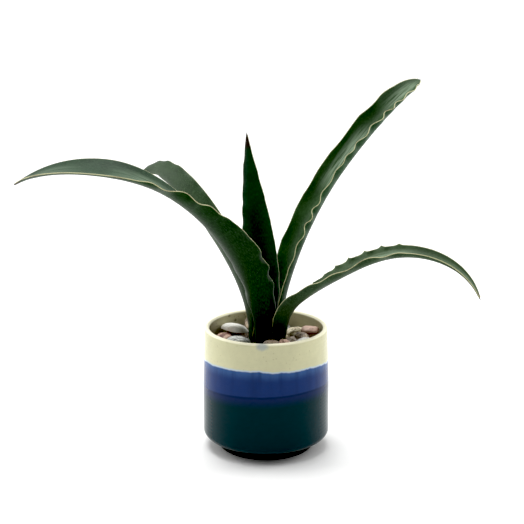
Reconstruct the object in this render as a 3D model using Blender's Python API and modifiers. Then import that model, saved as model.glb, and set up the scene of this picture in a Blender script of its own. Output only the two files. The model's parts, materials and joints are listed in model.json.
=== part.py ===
"""Potted snake plant: a rosette of five long channelled leaves on a root crown,
set in soil in a straight-sided glazed pot and dressed with sea shells and pebbles.

Metres, +Z up. The origin is the centre of the pot's flat underside, the front is -Y.
"""

import math
import random
from dataclasses import dataclass

import bmesh
import bpy
import numpy as np
from mathutils import Matrix, Vector, noise
from mathutils.bvhtree import BVHTree

MM = 0.001
DEG = math.pi / 180

# Clearances
TOUCH_GAP = 0.3 * MM  # between pieces that rest on or against each other
SHELL_GAP = 0.4 * MM  # under each shell, measured straight down
SCREW_MERGE = 0.0001

# Pot
POT_HEIGHT = 118.5 * MM
POT_RADIUS = 60.0 * MM
POT_LIP_RADIUS = 58.4 * MM
POT_WALL = 5.0 * MM
POT_FLOOR = 12.0 * MM
POT_TAPER_START = 62.0 * MM  # above this height the wall draws in to the lip
POT_HEEL_TOP = 17.0 * MM
POT_HEEL_RADIUS = 51.5 * MM
FOOT_RADIUS = 45.0 * MM
FOOT_HEIGHT = 9.5 * MM
FOOT_EDGE = 1.4 * MM
POT_STEPS = 56

# Soil and root crown
SOIL_TOP = 96.0 * MM
SOIL_DIP_RADIUS = 34.0 * MM  # inside this radius the soil dips to the crown's top
CROWN_RADIUS = 25.0 * MM
CROWN_TOP = 94.0 * MM
CROWN_DEPTH = 34.0 * MM
CROWN_TAPER = 0.55
BED_STEPS = 48

# Leaves
LEAF_STATIONS = (0.0, 0.08, 0.25, 0.5, 0.75, 1.0)
LEAF_BASE_THICKNESS = 5.0 * MM
LEAF_TIP_THICKNESS = 1.8 * MM
LEAF_MARGIN_THICKNESS = 0.9 * MM
SPINE_RADIUS = 1.1 * MM
SPINE_SHARE = 0.035  # of the leaf's length
SPINE_POINT = 0.15  # of the spine's radius, left at its very end
LEAF_COLUMNS = 7
KEEL_STEPS = 160

# Dressing of shells
SHELL_WALL = 1.3 * MM
SNAIL_STEPS = 9
BED_PIECES = 24
BED_INNER_RADIUS = 27.0 * MM
BED_OUTER_RADIUS = 45.0 * MM
TRIES = 90
SMALLER = 0.8  # size of a piece that found no room, as a share of its own
LEAST_SPREAD = 2.0 * MM  # how far from its place a piece is tried, at first
MOST_SPREAD = 16.0 * MM
MOST_LEAN = 16.0  # degrees that a piece may lean
MOST_SWING = 12.0  # degrees that it may turn from its yaw
HEAP_TOP = 118.2 * MM  # no piece of the dressing reaches higher
NEAR_ITS_PLACE = 0.12  # weight of distance from a piece's place, against its height
WALL_CLEARANCE = 0.7 * MM
LEAF_CLEARANCE = 0.6 * MM
PIECE_CLEARANCE = 0.15 * MM
SEED = 11


@dataclass(frozen=True)
class LeafSpec:
    """One leaf. Angles are in degrees, given at LEAF_STATIONS from base to tip."""

    name: str
    length: float
    half_width: float
    seat_radius: float  # of the keel's foot from the crown's axis
    heading: tuple  # compass direction the leaf grows towards, from +X
    climb: tuple  # of the keel above the level
    roll: tuple  # of the blade about its keel
    fold: tuple  # of each half of the channel, at even steps
    base_share: float  # width at the foot, as a share of the full width
    widest_at: float  # share of the length where the full width is reached
    tip_power: float  # higher is a blunter tip
    seat_shift: tuple = (0.0, 0.0)


LEAVES = (
    LeafSpec("leaf_front_left", 363 * MM, 21.9 * MM, 15.5 * MM,
             (267, 244, 227, 191, 165, 142), (90, 79, 56, 39, 2, -26),
             (17, 22, 26, 12, -10, -13), (74, 66, 33, 40), 0.43, 0.42, 7.4),
    LeafSpec("leaf_back_left", 290 * MM, 18.1 * MM, 18.5 * MM,
             (130, 145, 148, 135, 118, 136), (90, 77, 63, 40, 3, -47),
             (1, 27, 58, 89, 116, 116), (60, 49, 34, 48), 0.46, 0.3, 2.7,
             (-1.0 * MM, 2.5 * MM)),
    LeafSpec("leaf_centre", 217 * MM, 17.9 * MM, 4 * MM,
             (225, 236, 244, 243, 236, 227), (85, 85, 85, 78, 78, 88),
             (-9, 4, 14, 16, 13, 8), (71, 42, 10, 31), 0.42, 0.36, 2.6,
             (1.8 * MM, 0.2 * MM)),
    LeafSpec("leaf_right_tall", 332 * MM, 18.3 * MM, 15 * MM,
             (41, 34, 34, 32, 43, 63), (90, 83, 67, 51, 35, 6),
             (-27, -20, -6, 3, 12, 28), (59, 71, 94, 52), 0.48, 0.2, 8.3,
             (0.0, 2.0 * MM)),
    LeafSpec("leaf_right_low", 260 * MM, 14.8 * MM, 19 * MM,
             (319, 318, 325, 344, 342, 340), (90, 81, 39, 29, -7, -69),
             (9, 6, 0, 10, 10, 15), (62, 60, 67, 46), 0.46, 0.22, 3.7),
)


@dataclass(frozen=True)
class ShellSpec:
    """One piece of the dressing. yaw turns its hinge or point, from +X."""

    kind: str  # clam, cockle, snail or pebble
    x: float
    y: float
    width: float
    yaw: float = 90.0
    shade: str = "shell_grey"


# The pieces on top at the front, from the left wall round to the right wall
TOP_PIECES = (
    ShellSpec("clam", -42 * MM, 8 * MM, 20 * MM, 150, "shell_rose"),
    ShellSpec("clam", -36 * MM, -16 * MM, 21 * MM, 240, "shell_cream"),
    ShellSpec("clam", -26 * MM, -3 * MM, 26 * MM, 100, "shell_grey"),
    ShellSpec("clam", -24 * MM, 17 * MM, 29 * MM, 80, "shell_white"),
    ShellSpec("clam", -15 * MM, -24 * MM, 20 * MM, 300, "shell_cream"),
    ShellSpec("clam", 4 * MM, -30 * MM, 23 * MM, 265, "shell_rose"),
    ShellSpec("snail", 18 * MM, -29 * MM, 15 * MM, 30, "shell_rose"),
    ShellSpec("snail", 31 * MM, -19 * MM, 15 * MM, 200, "shell_rose"),
    ShellSpec("clam", 27 * MM, 1 * MM, 25 * MM, 20, "shell_brown"),
    ShellSpec("cockle", 29 * MM, 23 * MM, 24 * MM, 60, "shell_cream"),
    ShellSpec("pebble", 43 * MM, 4 * MM, 19 * MM, 80, "shell_rose"),
    ShellSpec("pebble", 40 * MM, -17 * MM, 14 * MM, 10, "shell_brown"),
    ShellSpec("cockle", 2 * MM, 41 * MM, 22 * MM, 95, "shell_white"),
    ShellSpec("clam", -24 * MM, 38 * MM, 22 * MM, 130, "shell_brown"),
    ShellSpec("snail", 20 * MM, 42 * MM, 15 * MM, 300, "shell_grey"),
    ShellSpec("clam", 40 * MM, -32 * MM, 19 * MM, 320, "shell_white"),
    ShellSpec("cockle", -14 * MM, -43 * MM, 21 * MM, 250, "shell_brown"),
    ShellSpec("snail", -31 * MM, -33 * MM, 14 * MM, 40, "shell_cream"),
    ShellSpec("pebble", 12 * MM, -45 * MM, 14 * MM, 0, "shell_grey"),
    ShellSpec("snail", -4 * MM, 25 * MM, 14 * MM, 120, "shell_rose"),
    ShellSpec("clam", 2 * MM, -30 * MM, 18 * MM, 265, "shell_brown"),
    ShellSpec("clam", -12 * MM, -31 * MM, 15 * MM, 300, "shell_cream"),
    ShellSpec("pebble", 15 * MM, -27 * MM, 11 * MM, 30, "shell_rose"),
    ShellSpec("cockle", 22 * MM, -31 * MM, 15 * MM, 200, "shell_rose"),
    ShellSpec("clam", 8 * MM, -38 * MM, 15 * MM, 250, "shell_grey"),
)

# name: (red, green, blue, roughness)
FINISHES = {
    "pot_glaze": (0.03, 0.14, 0.2, 0.15),
    "soil": (0.06, 0.04, 0.03, 0.95),
    "root_crown": (0.3, 0.26, 0.16, 0.7),
    "leaf": (0.04, 0.13, 0.05, 0.42),
    "shell_white": (0.78, 0.77, 0.72, 0.45),
    "shell_grey": (0.45, 0.46, 0.44, 0.5),
    "shell_cream": (0.72, 0.66, 0.48, 0.5),
    "shell_rose": (0.56, 0.38, 0.33, 0.45),
    "shell_brown": (0.33, 0.26, 0.2, 0.5),
}


def clear_scene():
    for obj in list(bpy.data.objects):
        bpy.data.objects.remove(obj, do_unlink=True)


def make_materials():
    made = {}
    for name, (red, green, blue, roughness) in FINISHES.items():
        material = bpy.data.materials.new(name)
        material.use_nodes = True
        shader = material.node_tree.nodes["Principled BSDF"]
        shader.inputs["Base Color"].default_value = (red, green, blue, 1.0)
        shader.inputs["Roughness"].default_value = roughness
        shader.inputs["Metallic"].default_value = 0.0
        made[name] = material
    return made


def new_object(name, mesh, collection, material):
    mesh.materials.append(material)
    obj = bpy.data.objects.new(name, mesh)
    collection.objects.link(obj)
    return obj


def turned(name, profile, steps, collection, material):
    """A solid turned about Z from a half section that runs down its outer side."""
    mesh = bpy.data.meshes.new(name)
    mesh.from_pydata([(r, 0.0, z) for r, z in profile], [(i, i + 1) for i in range(len(profile) - 1)], [])
    obj = new_object(name, mesh, collection, material)
    screw = obj.modifiers.new("Turn", "SCREW")
    screw.axis = "Z"
    screw.steps = steps
    screw.render_steps = steps
    screw.use_merge_vertices = True
    screw.merge_threshold = SCREW_MERGE
    screw.use_smooth_shade = True
    return obj


def arc(centre, radius, start, end, count):
    """Points on a circle's arc in the half section, angles in degrees from +X."""
    turns = [start + (end - start) * i / (count - 1) for i in range(count)]
    return [(centre[0] + radius * math.cos(a * DEG), centre[1] + radius * math.sin(a * DEG)) for a in turns]


# Pot

def pot_inner_wall():
    """Half section of the pot's inside, from the floor's centre up to the lip."""
    inner = POT_RADIUS - POT_WALL
    corner = 9.0 * MM
    lip_inner = POT_LIP_RADIUS - POT_WALL
    return [
        (0.0, POT_FLOOR),
        (inner - corner, POT_FLOOR),
        (inner - 0.3 * corner, POT_FLOOR + 0.3 * corner),
        (inner, POT_FLOOR + corner),
        (inner, POT_TAPER_START),
        (lip_inner, POT_HEIGHT - POT_WALL),
    ]


def build_pot(collection, materials):
    """One thrown and glazed vessel: wall, rounded lip, rounded heel and a set-in foot."""
    lip = arc((POT_LIP_RADIUS - POT_WALL / 2, POT_HEIGHT - POT_WALL / 2), POT_WALL / 2, 160, 10, 6)
    heel_rise = POT_HEEL_TOP - FOOT_HEIGHT
    heel = [
        (POT_RADIUS, POT_HEEL_TOP),
        (POT_RADIUS - 0.16 * heel_rise, POT_HEEL_TOP - 0.42 * heel_rise),
        (POT_RADIUS - 0.5 * heel_rise, POT_HEEL_TOP - 0.8 * heel_rise),
        (POT_HEEL_RADIUS, FOOT_HEIGHT),
    ]
    foot = [
        (FOOT_RADIUS, FOOT_HEIGHT),
        (FOOT_RADIUS, FOOT_EDGE),
        (FOOT_RADIUS - FOOT_EDGE, 0.0),
        (0.0, 0.0),
    ]
    shoulder = [(POT_LIP_RADIUS, POT_HEIGHT - POT_WALL), (POT_RADIUS, POT_TAPER_START)]
    profile = pot_inner_wall() + lip + shoulder + heel + foot
    return turned("pot", profile, POT_STEPS, collection, materials["pot_glaze"])


# Soil and root crown

def wall_radius_at(height):
    """Inside radius of the pot's wall at a height on its straight or drawn-in part."""
    share = (height - POT_TAPER_START) / (POT_HEIGHT - POT_WALL - POT_TAPER_START)
    return POT_RADIUS - POT_WALL + max(0.0, share) * (POT_LIP_RADIUS - POT_RADIUS)


def build_soil(collection, materials):
    """The soil fills the pot and has a tapered well for the root crown."""
    inner = POT_RADIUS - POT_WALL
    floor = POT_FLOOR + TOUCH_GAP
    well_top = CROWN_RADIUS + TOUCH_GAP
    well_bottom = CROWN_RADIUS * CROWN_TAPER + TOUCH_GAP
    profile = [
        (0.0, CROWN_TOP - CROWN_DEPTH - TOUCH_GAP),
        (well_bottom, CROWN_TOP - CROWN_DEPTH - TOUCH_GAP),
        (well_top, CROWN_TOP),
        (max(SOIL_DIP_RADIUS, well_top + 1 * MM), SOIL_TOP),
        (wall_radius_at(SOIL_TOP) - TOUCH_GAP, SOIL_TOP),
        (inner - TOUCH_GAP, POT_TAPER_START),
        (inner - TOUCH_GAP, floor + 9.5 * MM),
        (inner - 3.8 * MM, floor + 3.8 * MM),
        (inner - 9.5 * MM, floor),
        (0.0, floor),
    ]
    return turned("soil", profile, BED_STEPS, collection, materials["soil"])


def build_root_crown(collection, materials):
    """The short tapered stem that the leaves grow from."""
    bottom = CROWN_TOP - CROWN_DEPTH
    profile = [
        (0.0, CROWN_TOP),
        (CROWN_RADIUS, CROWN_TOP),
        (CROWN_RADIUS * CROWN_TAPER, bottom),
        (0.0, bottom),
    ]
    return turned("root_crown", profile, BED_STEPS, collection, materials["root_crown"])


# Leaves

def through(stations, values, where):
    """A smooth curve through the values that never swings past them."""
    x = np.asarray(stations, float)
    y = np.asarray(values, float)
    step = np.diff(x)
    slope = np.diff(y) / step
    grade = np.zeros_like(y)
    for i in range(1, len(y) - 1):
        if slope[i - 1] * slope[i] > 0:
            first = 2 * step[i] + step[i - 1]
            second = step[i] + 2 * step[i - 1]
            grade[i] = (first + second) / (first / slope[i - 1] + second / slope[i])
    grade[0] = end_grade(step[0], step[1], slope[0], slope[1])
    grade[-1] = end_grade(step[-1], step[-2], slope[-1], slope[-2])
    i = np.clip(np.searchsorted(x, where, side="right") - 1, 0, len(step) - 1)
    t = (where - x[i]) / step[i]
    rise = y[i] * (1 + 2 * t) * (1 - t) ** 2 + y[i + 1] * t * t * (3 - 2 * t)
    return rise + step[i] * (grade[i] * t * (1 - t) ** 2 + grade[i + 1] * t * t * (t - 1))


def end_grade(near_step, far_step, near_slope, far_slope):
    grade = ((2 * near_step + far_step) * near_slope - near_step * far_slope) / (near_step + far_step)
    if grade * near_slope <= 0:
        return 0.0
    if near_slope * far_slope < 0 and abs(grade) > 3 * abs(near_slope):
        return 3 * near_slope
    return grade


def along_keel(spec, u):
    """(keel points, across, inward) of the leaf at each share u of its length."""
    fine = np.linspace(0, 1, KEEL_STEPS + 1)

    def angles(where):
        return [np.radians(through(LEAF_STATIONS, row, where)) for row in (spec.heading, spec.climb, spec.roll)]

    def forward(heading, climb):
        return np.stack([np.cos(climb) * np.cos(heading), np.cos(climb) * np.sin(heading), np.sin(climb)], 1)

    heading, climb, _ = angles(fine)
    path = forward(heading, climb)
    steps = (path[1:] + path[:-1]) / 2 * (spec.length / KEEL_STEPS)
    start = math.radians(spec.heading[0])
    foot = np.array([
        spec.seat_radius * math.cos(start) + spec.seat_shift[0],
        spec.seat_radius * math.sin(start) + spec.seat_shift[1],
        CROWN_TOP + TOUCH_GAP + 0.1 * MM,
    ])
    keel = np.vstack([[0.0, 0.0, 0.0], np.cumsum(steps, 0)]) + foot
    keel = np.stack([np.interp(u, fine, keel[:, axis]) for axis in range(3)], 1)
    heading, climb, roll = angles(u)
    level = np.stack([np.sin(heading), -np.cos(heading), np.zeros_like(heading)], 1)
    up = np.stack([-np.sin(climb) * np.cos(heading), -np.sin(climb) * np.sin(heading), np.cos(climb)], 1)
    c, s = np.cos(roll)[:, None], np.sin(roll)[:, None]
    return keel, c * level - s * up, c * up + s * level


def leaf_half_width(spec, u):
    swell = spec.base_share + (1 - spec.base_share) * np.sin(np.minimum(1, u / spec.widest_at) * math.pi / 2)
    blade = spec.half_width * swell * np.clip(1 - u ** spec.tip_power, 0, 1)
    return np.maximum(blade, SPINE_RADIUS * np.clip((1 - u) / SPINE_SHARE, SPINE_POINT, 1))


def leaf_stations():
    foot = np.linspace(0, 0.12, 6)[:-1]
    blade = np.linspace(0.12, 0.88, 18)[:-1]
    return np.concatenate([foot, blade, np.linspace(0.88, 1, 9)])


def leaf_rings(spec, u):
    """The closed section of the leaf at each station: a channel, thick at the keel."""
    keel, across, inward = along_keel(spec, u)
    half = leaf_half_width(spec, u)
    fold = np.radians(through(np.linspace(0, 1, len(spec.fold)), spec.fold, u))
    body = LEAF_BASE_THICKNESS * (1 - u) + LEAF_TIP_THICKNESS * u
    body = np.maximum(body * np.clip(2 * half / spec.half_width, 0, 1), 1.6 * np.minimum(half, SPINE_RADIUS))
    edge = np.minimum(LEAF_MARGIN_THICKNESS, 0.5 * body)
    columns = np.linspace(-1, 1, LEAF_COLUMNS)
    rings = []
    for side in (1, -1):
        for v in columns if side == 1 else columns[::-1]:
            turn = fold * abs(v)
            x = half * np.sin(turn) / fold * np.sign(v)
            y = half * (1 - np.cos(turn)) / fold
            out = side * (edge + (body - edge) * math.sqrt(1 - v * v)) / 2
            x = x - np.sin(turn) * np.sign(v) * out
            y = y + np.cos(turn) * out
            rings.append(keel + across * x[:, None] + inward * y[:, None])
    return np.stack(rings, 1)


def build_leaf(spec, collection, materials):
    """A loft through the leaf's sections, from its flat foot to its spine."""
    rings = leaf_rings(spec, leaf_stations())
    made = bmesh.new()
    rows = [[made.verts.new(point) for point in ring] for ring in rings.tolist()]
    count = len(rows[0])
    for low, high in zip(rows, rows[1:]):
        for k in range(count):
            after = (k + 1) % count
            made.faces.new((low[k], low[after], high[after], high[k]))
    made.faces.new(rows[0][::-1])
    made.faces.new(rows[-1])
    bmesh.ops.recalc_face_normals(made, faces=made.faces)
    ends = [face for face in made.faces if len(face.verts) > 4]
    bmesh.ops.triangulate(made, faces=ends)
    for face in made.faces:
        face.smooth = True
    mesh = bpy.data.meshes.new(spec.name)
    made.to_mesh(mesh)
    made.free()
    return new_object(spec.name, mesh, collection, materials["leaf"])


# Shells and pebbles, each made at the origin: a valve's hinge is at +Y, a coiled shell's point at +Z

def cap_of_sphere(segments, rings):
    """The upper half of a unit sphere, open below."""
    made = bmesh.new()
    bmesh.ops.create_uvsphere(made, u_segments=segments, v_segments=2 * rings, radius=1.0)
    low = [vert for vert in made.verts if vert.co.z < -0.01]
    bmesh.ops.delete(made, geom=low, context="VERTS")
    return made


def shape_valve(width, length_share, height_share, umbo):
    """One valve of a bivalve: a dome whose peak leans over its hinge."""
    made = cap_of_sphere(12, 3)
    for vert in made.verts:
        x, y, z = vert.co
        narrow = 1 - 0.28 * max(0.0, y) ** 2
        vert.co.x = x * narrow * width / 2
        vert.co.y = (y + umbo * z * z) * length_share * width / 2
        vert.co.z = z ** 0.85 * height_share * width
    return made


def snail_profile(width):
    """Half section of a coiled shell, as whorls that shrink towards its point at the top."""
    whorls = [(0.0, 0.56), (0.18, 0.36), (0.3, 0.22), (0.29, 0.12), (0.4, 0.02), (0.43, -0.2), (0.27, -0.42), (0.0, -0.5)]
    return [(r * width, z * width) for r, z in whorls]


def shape_pebble(width, draw):
    """A sea-worn pebble."""
    made = bmesh.new()
    bmesh.ops.create_icosphere(made, subdivisions=2, radius=0.5)
    place = Vector((draw.uniform(0, 9), draw.uniform(0, 9), draw.uniform(0, 9)))
    for vert in made.verts:
        vert.co *= 1 + 0.35 * noise.noise(vert.co * 1.9 + place)
        vert.co = Vector((vert.co.x * width * 0.8, vert.co.y * width, vert.co.z * width * 0.58))
    return made


def build_shell(name, spec, draw, collection, materials):
    """One piece of the dressing at the origin, before it is laid."""
    material = materials[spec.shade]
    if spec.kind == "snail":
        return turned(name, snail_profile(spec.width), SNAIL_STEPS, collection, material)
    if spec.kind == "clam":
        made = shape_valve(spec.width, 0.8, 0.27, 0.3)
    elif spec.kind == "cockle":
        made = shape_valve(spec.width, 0.94, 0.36, 0.34)
    else:
        made = shape_pebble(spec.width, draw)
    for face in made.faces:
        face.smooth = True
    mesh = bpy.data.meshes.new(name)
    made.to_mesh(mesh)
    made.free()
    obj = new_object(name, mesh, collection, material)
    if spec.kind != "pebble":
        wall = obj.modifiers.new("Wall", "SOLIDIFY")
        wall.thickness = SHELL_WALL
        wall.offset = -1.0
    return obj


# Laying the dressing

def solid_of(obj):
    """(points, polygons) of the finished solid."""
    bpy.context.view_layer.update()
    finished = obj.evaluated_get(bpy.context.evaluated_depsgraph_get())
    mesh = finished.to_mesh()
    points = np.array([vert.co[:] for vert in mesh.vertices])
    polygons = [tuple(face.vertices) for face in mesh.polygons]
    finished.to_mesh_clear()
    return points, polygons


def joined_solids(solids):
    points, polygons, start = [], [], 0
    for some_points, some_polygons in solids:
        points.append(some_points)
        polygons += [tuple(start + i for i in face) for face in some_polygons]
        start += len(some_points)
    return np.vstack(points), polygons


def tree_of(points, polygons):
    return BVHTree.FromPolygons(points.tolist(), polygons)


def lift_to_rest(points, polygons, bed, bed_tree):
    """Height that the piece has to be lifted by, so that it lies SHELL_GAP above the bed."""
    sky = POT_HEIGHT + 20 * MM
    lift = -1.0
    for x, y, z in points.tolist():
        hit = bed_tree.ray_cast(Vector((x, y, sky)), Vector((0, 0, -1)))[0]
        if hit is not None:
            lift = max(lift, hit.z - z)
    piece_tree = tree_of(points, polygons)
    low, high = points.min(0), points.max(0)
    inside = (bed[:, 0] > low[0]) & (bed[:, 0] < high[0]) & (bed[:, 1] > low[1]) & (bed[:, 1] < high[1])
    for x, y, z in bed[inside].tolist():
        hit = piece_tree.ray_cast(Vector((x, y, -sky)), Vector((0, 0, 1)))[0]
        if hit is not None:
            lift = max(lift, z - hit.z)
    return lift + SHELL_GAP


def fits(points, polygons, bed_tree, leaf_tree):
    """True where the piece clears the pot's wall, the leaves and the pieces under it."""
    if points[:, 2].max() > HEAP_TOP:
        return False
    if np.hypot(points[:, 0], points[:, 1]).max() > POT_LIP_RADIUS - POT_WALL - WALL_CLEARANCE:
        return False
    piece_tree = tree_of(points, polygons)
    if piece_tree.overlap(leaf_tree) or piece_tree.overlap(bed_tree):
        return False
    if any(bed_tree.find_nearest(Vector(point), PIECE_CLEARANCE)[0] for point in points.tolist()):
        return False
    return all(leaf_tree.find_nearest(Vector(point))[3] > LEAF_CLEARANCE for point in points.tolist())


def lay(obj, spec, draw, placed, leaf_tree):
    """Finds the lowest way for a piece to lie near its place, and puts it there."""
    points, polygons = solid_of(obj)
    bed, bed_polygons = joined_solids(placed)
    bed_tree = tree_of(bed, bed_polygons)
    reach = POT_LIP_RADIUS - POT_WALL - WALL_CLEARANCE - spec.width / 2
    best = None
    for attempt in range(2 * TRIES):
        if attempt == TRIES and best is not None:
            break
        size = Matrix.Scale(1.0 if attempt < TRIES else SMALLER, 4)
        spread = LEAST_SPREAD + (MOST_SPREAD - LEAST_SPREAD) * (attempt % TRIES) / TRIES
        place = Vector((spec.x + draw.uniform(-spread, spread), spec.y + draw.uniform(-spread, spread)))
        x, y = place * min(1.0, reach / place.length)
        lean = Matrix.Rotation(draw.uniform(0, MOST_LEAN) * DEG, 4, Vector((draw.uniform(-1, 1), draw.uniform(-1, 1), 0)))
        yaw = Matrix.Rotation((spec.yaw - 90 + draw.uniform(-MOST_SWING, MOST_SWING)) * DEG, 4, "Z")
        side = Matrix.Rotation(-90 * DEG, 4, "X") if spec.kind == "snail" else Matrix()
        turn = lean @ yaw @ side @ size
        turned_points = points @ np.array(turn.to_3x3()).T + np.array([x, y, 0.0])
        lift = lift_to_rest(turned_points, polygons, bed, bed_tree)
        for _ in range(4):
            lain = turned_points + np.array([0.0, 0.0, lift])
            if fits(lain, polygons, bed_tree, leaf_tree):
                break
            lift += SHELL_GAP
        else:
            continue
        score = lain[:, 2].mean() + NEAR_ITS_PLACE * math.hypot(x - spec.x, y - spec.y)
        if best is None or score < best[0]:
            best = (score, Matrix.Translation((x, y, lift)) @ turn, lain)
    if best is None:
        raise RuntimeError(f"{obj.name} found no room on the bed")
    obj.matrix_world = best[1]
    placed.append((best[2], polygons))


def bed_pieces(draw):
    """The first layer: pieces spread evenly over the soil, between crown and wall."""
    kinds = ("clam", "pebble", "snail", "clam", "cockle")
    shades = ("shell_grey", "shell_brown", "shell_cream", "shell_rose", "shell_white")
    widths = {"clam": 18 * MM, "cockle": 17 * MM, "snail": 13 * MM, "pebble": 13 * MM}
    golden = math.pi * (3 - math.sqrt(5))
    for i in range(BED_PIECES):
        share = (i + 0.5) / BED_PIECES
        radius = math.sqrt(BED_INNER_RADIUS ** 2 + share * (BED_OUTER_RADIUS ** 2 - BED_INNER_RADIUS ** 2))
        kind = kinds[i % len(kinds)]
        yield ShellSpec(kind, radius * math.cos(i * golden), radius * math.sin(i * golden),
                        widths[kind] * draw.uniform(0.85, 1.15), draw.uniform(0, 360), draw.choice(shades))


def build_dressing(soil, crown, leaves, collection, materials):
    draw = random.Random(SEED)
    placed = [solid_of(soil), solid_of(crown)]
    leaf_tree = tree_of(*joined_solids([solid_of(leaf) for leaf in leaves]))
    counts = {"clam": 0, "cockle": 0, "snail": 0, "pebble": 0}
    for spec in list(bed_pieces(draw)) + list(TOP_PIECES):
        counts[spec.kind] += 1
        name = f"{spec.kind}_{counts[spec.kind]:02d}"
        obj = build_shell(name, spec, draw, collection, materials)
        lay(obj, spec, draw, placed, leaf_tree)


def main():
    clear_scene()
    collection = bpy.data.collections.new("potted_snake_plant")
    bpy.context.scene.collection.children.link(collection)
    materials = make_materials()
    build_pot(collection, materials)
    soil = build_soil(collection, materials)
    crown = build_root_crown(collection, materials)
    leaves = [build_leaf(spec, collection, materials) for spec in LEAVES]
    build_dressing(soil, crown, leaves, collection, materials)


main()
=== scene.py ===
"""Looks of the potted snake plant: the glazed pot, its leaves, and the bed of sea shells.

Metres, +Z up, the front is -Y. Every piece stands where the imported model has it.
"""

import json
import logging
import math
import random
from dataclasses import dataclass
from enum import Enum
from typing import Any

import bmesh
import bpy
import numpy as np
from mathutils import Matrix, Vector, noise
from mathutils.bvhtree import BVHTree


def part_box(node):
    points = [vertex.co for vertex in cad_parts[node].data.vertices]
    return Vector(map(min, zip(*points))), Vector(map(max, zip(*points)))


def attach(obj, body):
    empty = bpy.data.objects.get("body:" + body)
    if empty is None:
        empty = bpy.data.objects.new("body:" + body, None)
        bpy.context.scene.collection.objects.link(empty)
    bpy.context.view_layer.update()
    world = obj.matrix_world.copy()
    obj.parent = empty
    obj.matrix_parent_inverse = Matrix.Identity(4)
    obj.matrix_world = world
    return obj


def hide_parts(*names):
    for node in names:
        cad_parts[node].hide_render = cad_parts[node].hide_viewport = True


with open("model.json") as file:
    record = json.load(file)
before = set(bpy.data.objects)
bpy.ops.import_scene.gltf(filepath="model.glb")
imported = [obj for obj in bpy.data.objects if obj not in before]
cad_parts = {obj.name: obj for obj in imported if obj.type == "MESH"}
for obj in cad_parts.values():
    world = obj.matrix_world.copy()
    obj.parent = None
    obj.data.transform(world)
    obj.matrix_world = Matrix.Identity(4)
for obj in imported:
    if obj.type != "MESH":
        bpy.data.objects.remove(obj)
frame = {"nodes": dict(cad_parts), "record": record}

MM = 0.001
DEG = math.pi / 180
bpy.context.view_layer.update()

log = logging.getLogger("potted_plant")

Colour = tuple[float, float, float]
Socket = bpy.types.NodeSocket


# Node trees


class Graph:
    """Adds and joins the nodes of one tree."""

    def __init__(self, tree: bpy.types.NodeTree) -> None:
        """Starts from the tree as it is."""
        self.tree = tree

    def add(self, kind: str, inputs: dict[Any, Any] | None = None, **settings: Any) -> bpy.types.Node:
        """Adds a node.

        Args:
            kind: the node's type.
            inputs: for each input's name or number, a socket to join or a value to set.
            settings: the node's own properties.

        Returns:
            The node.
        """
        node = self.tree.nodes.new(kind)
        for name, value in settings.items():
            setattr(node, name, value)
        for key, value in (inputs or {}).items():
            if isinstance(value, Socket):
                self.tree.links.new(value, node.inputs[key])
            else:
                node.inputs[key].default_value = value
        return node

    def math(self, operation: str, first: Any, second: Any = 0.0, clamp: bool = False) -> Socket:
        """Result of a Math node.

        Args:
            operation: the node's operation.
            first: socket or number.
            second: socket or number.
            clamp: keeps the result within 0 and 1.

        Returns:
            The value socket.
        """
        return self.add(
            "ShaderNodeMath", {0: first, 1: second}, operation=operation, use_clamp=clamp
        ).outputs[0]

    def span(self, value: Any, low: float, high: float) -> Socket:
        """Smooth step of a value from 0 at low to 1 at high."""
        inputs = {"Value": value, "From Min": low, "From Max": high}
        return self.add("ShaderNodeMapRange", inputs, interpolation_type="SMOOTHSTEP").outputs[0]

    def mix(self, share: Any, first: Any, second: Any) -> Socket:
        """Colour mix.

        Args:
            share: 0 gives the first colour and 1 the second.
            first: colour or socket.
            second: colour or socket.

        Returns:
            The colour socket.
        """
        node = self.add("ShaderNodeMix", {"Factor": share}, data_type="RGBA")
        for key, value in ((6, first), (7, second)):
            if isinstance(value, Socket):
                self.tree.links.new(value, node.inputs[key])
            else:
                node.inputs[key].default_value = (*value, 1.0)
        return node.outputs[2]

    def noise(self, vector: Socket, scale: float, detail: float = 3.0) -> Socket:
        """Value of a noise texture."""
        inputs = {"Vector": vector, "Scale": scale, "Detail": detail, "Roughness": 0.55}
        return self.add("ShaderNodeTexNoise", inputs).outputs["Fac"]

    def attribute(self, name: str) -> Socket:
        """Value of a number stored on the mesh."""
        return self.add("ShaderNodeAttribute", attribute_name=name).outputs["Fac"]

    def place(self, scale: Colour = (1.0, 1.0, 1.0)) -> Socket:
        """The point in the object's own frame, stretched by scale."""
        where = self.add("ShaderNodeTexCoord").outputs["Object"]
        return self.add("ShaderNodeMapping", {"Vector": where, "Scale": scale}).outputs[0]

    def height(self) -> Socket:
        """Height of the point above the pot's underside."""
        where = self.add("ShaderNodeTexCoord").outputs["Object"]
        return self.add("ShaderNodeSeparateXYZ", {0: where}).outputs[2]

    def group(self, tree: bpy.types.NodeTree, inputs: dict[str, Any]) -> bpy.types.Node:
        """Adds a node group with its own values."""
        return self.add_group("ShaderNodeGroup", tree, inputs)

    def add_group(self, kind: str, tree: bpy.types.NodeTree, inputs: dict[str, Any]) -> bpy.types.Node:
        """Adds a group node of a kind, sets its tree, then its inputs."""
        node = self.tree.nodes.new(kind)
        node.node_tree = tree
        for key, value in inputs.items():
            if isinstance(value, Socket):
                self.tree.links.new(value, node.inputs[key])
            else:
                node.inputs[key].default_value = value
        return node


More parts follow.
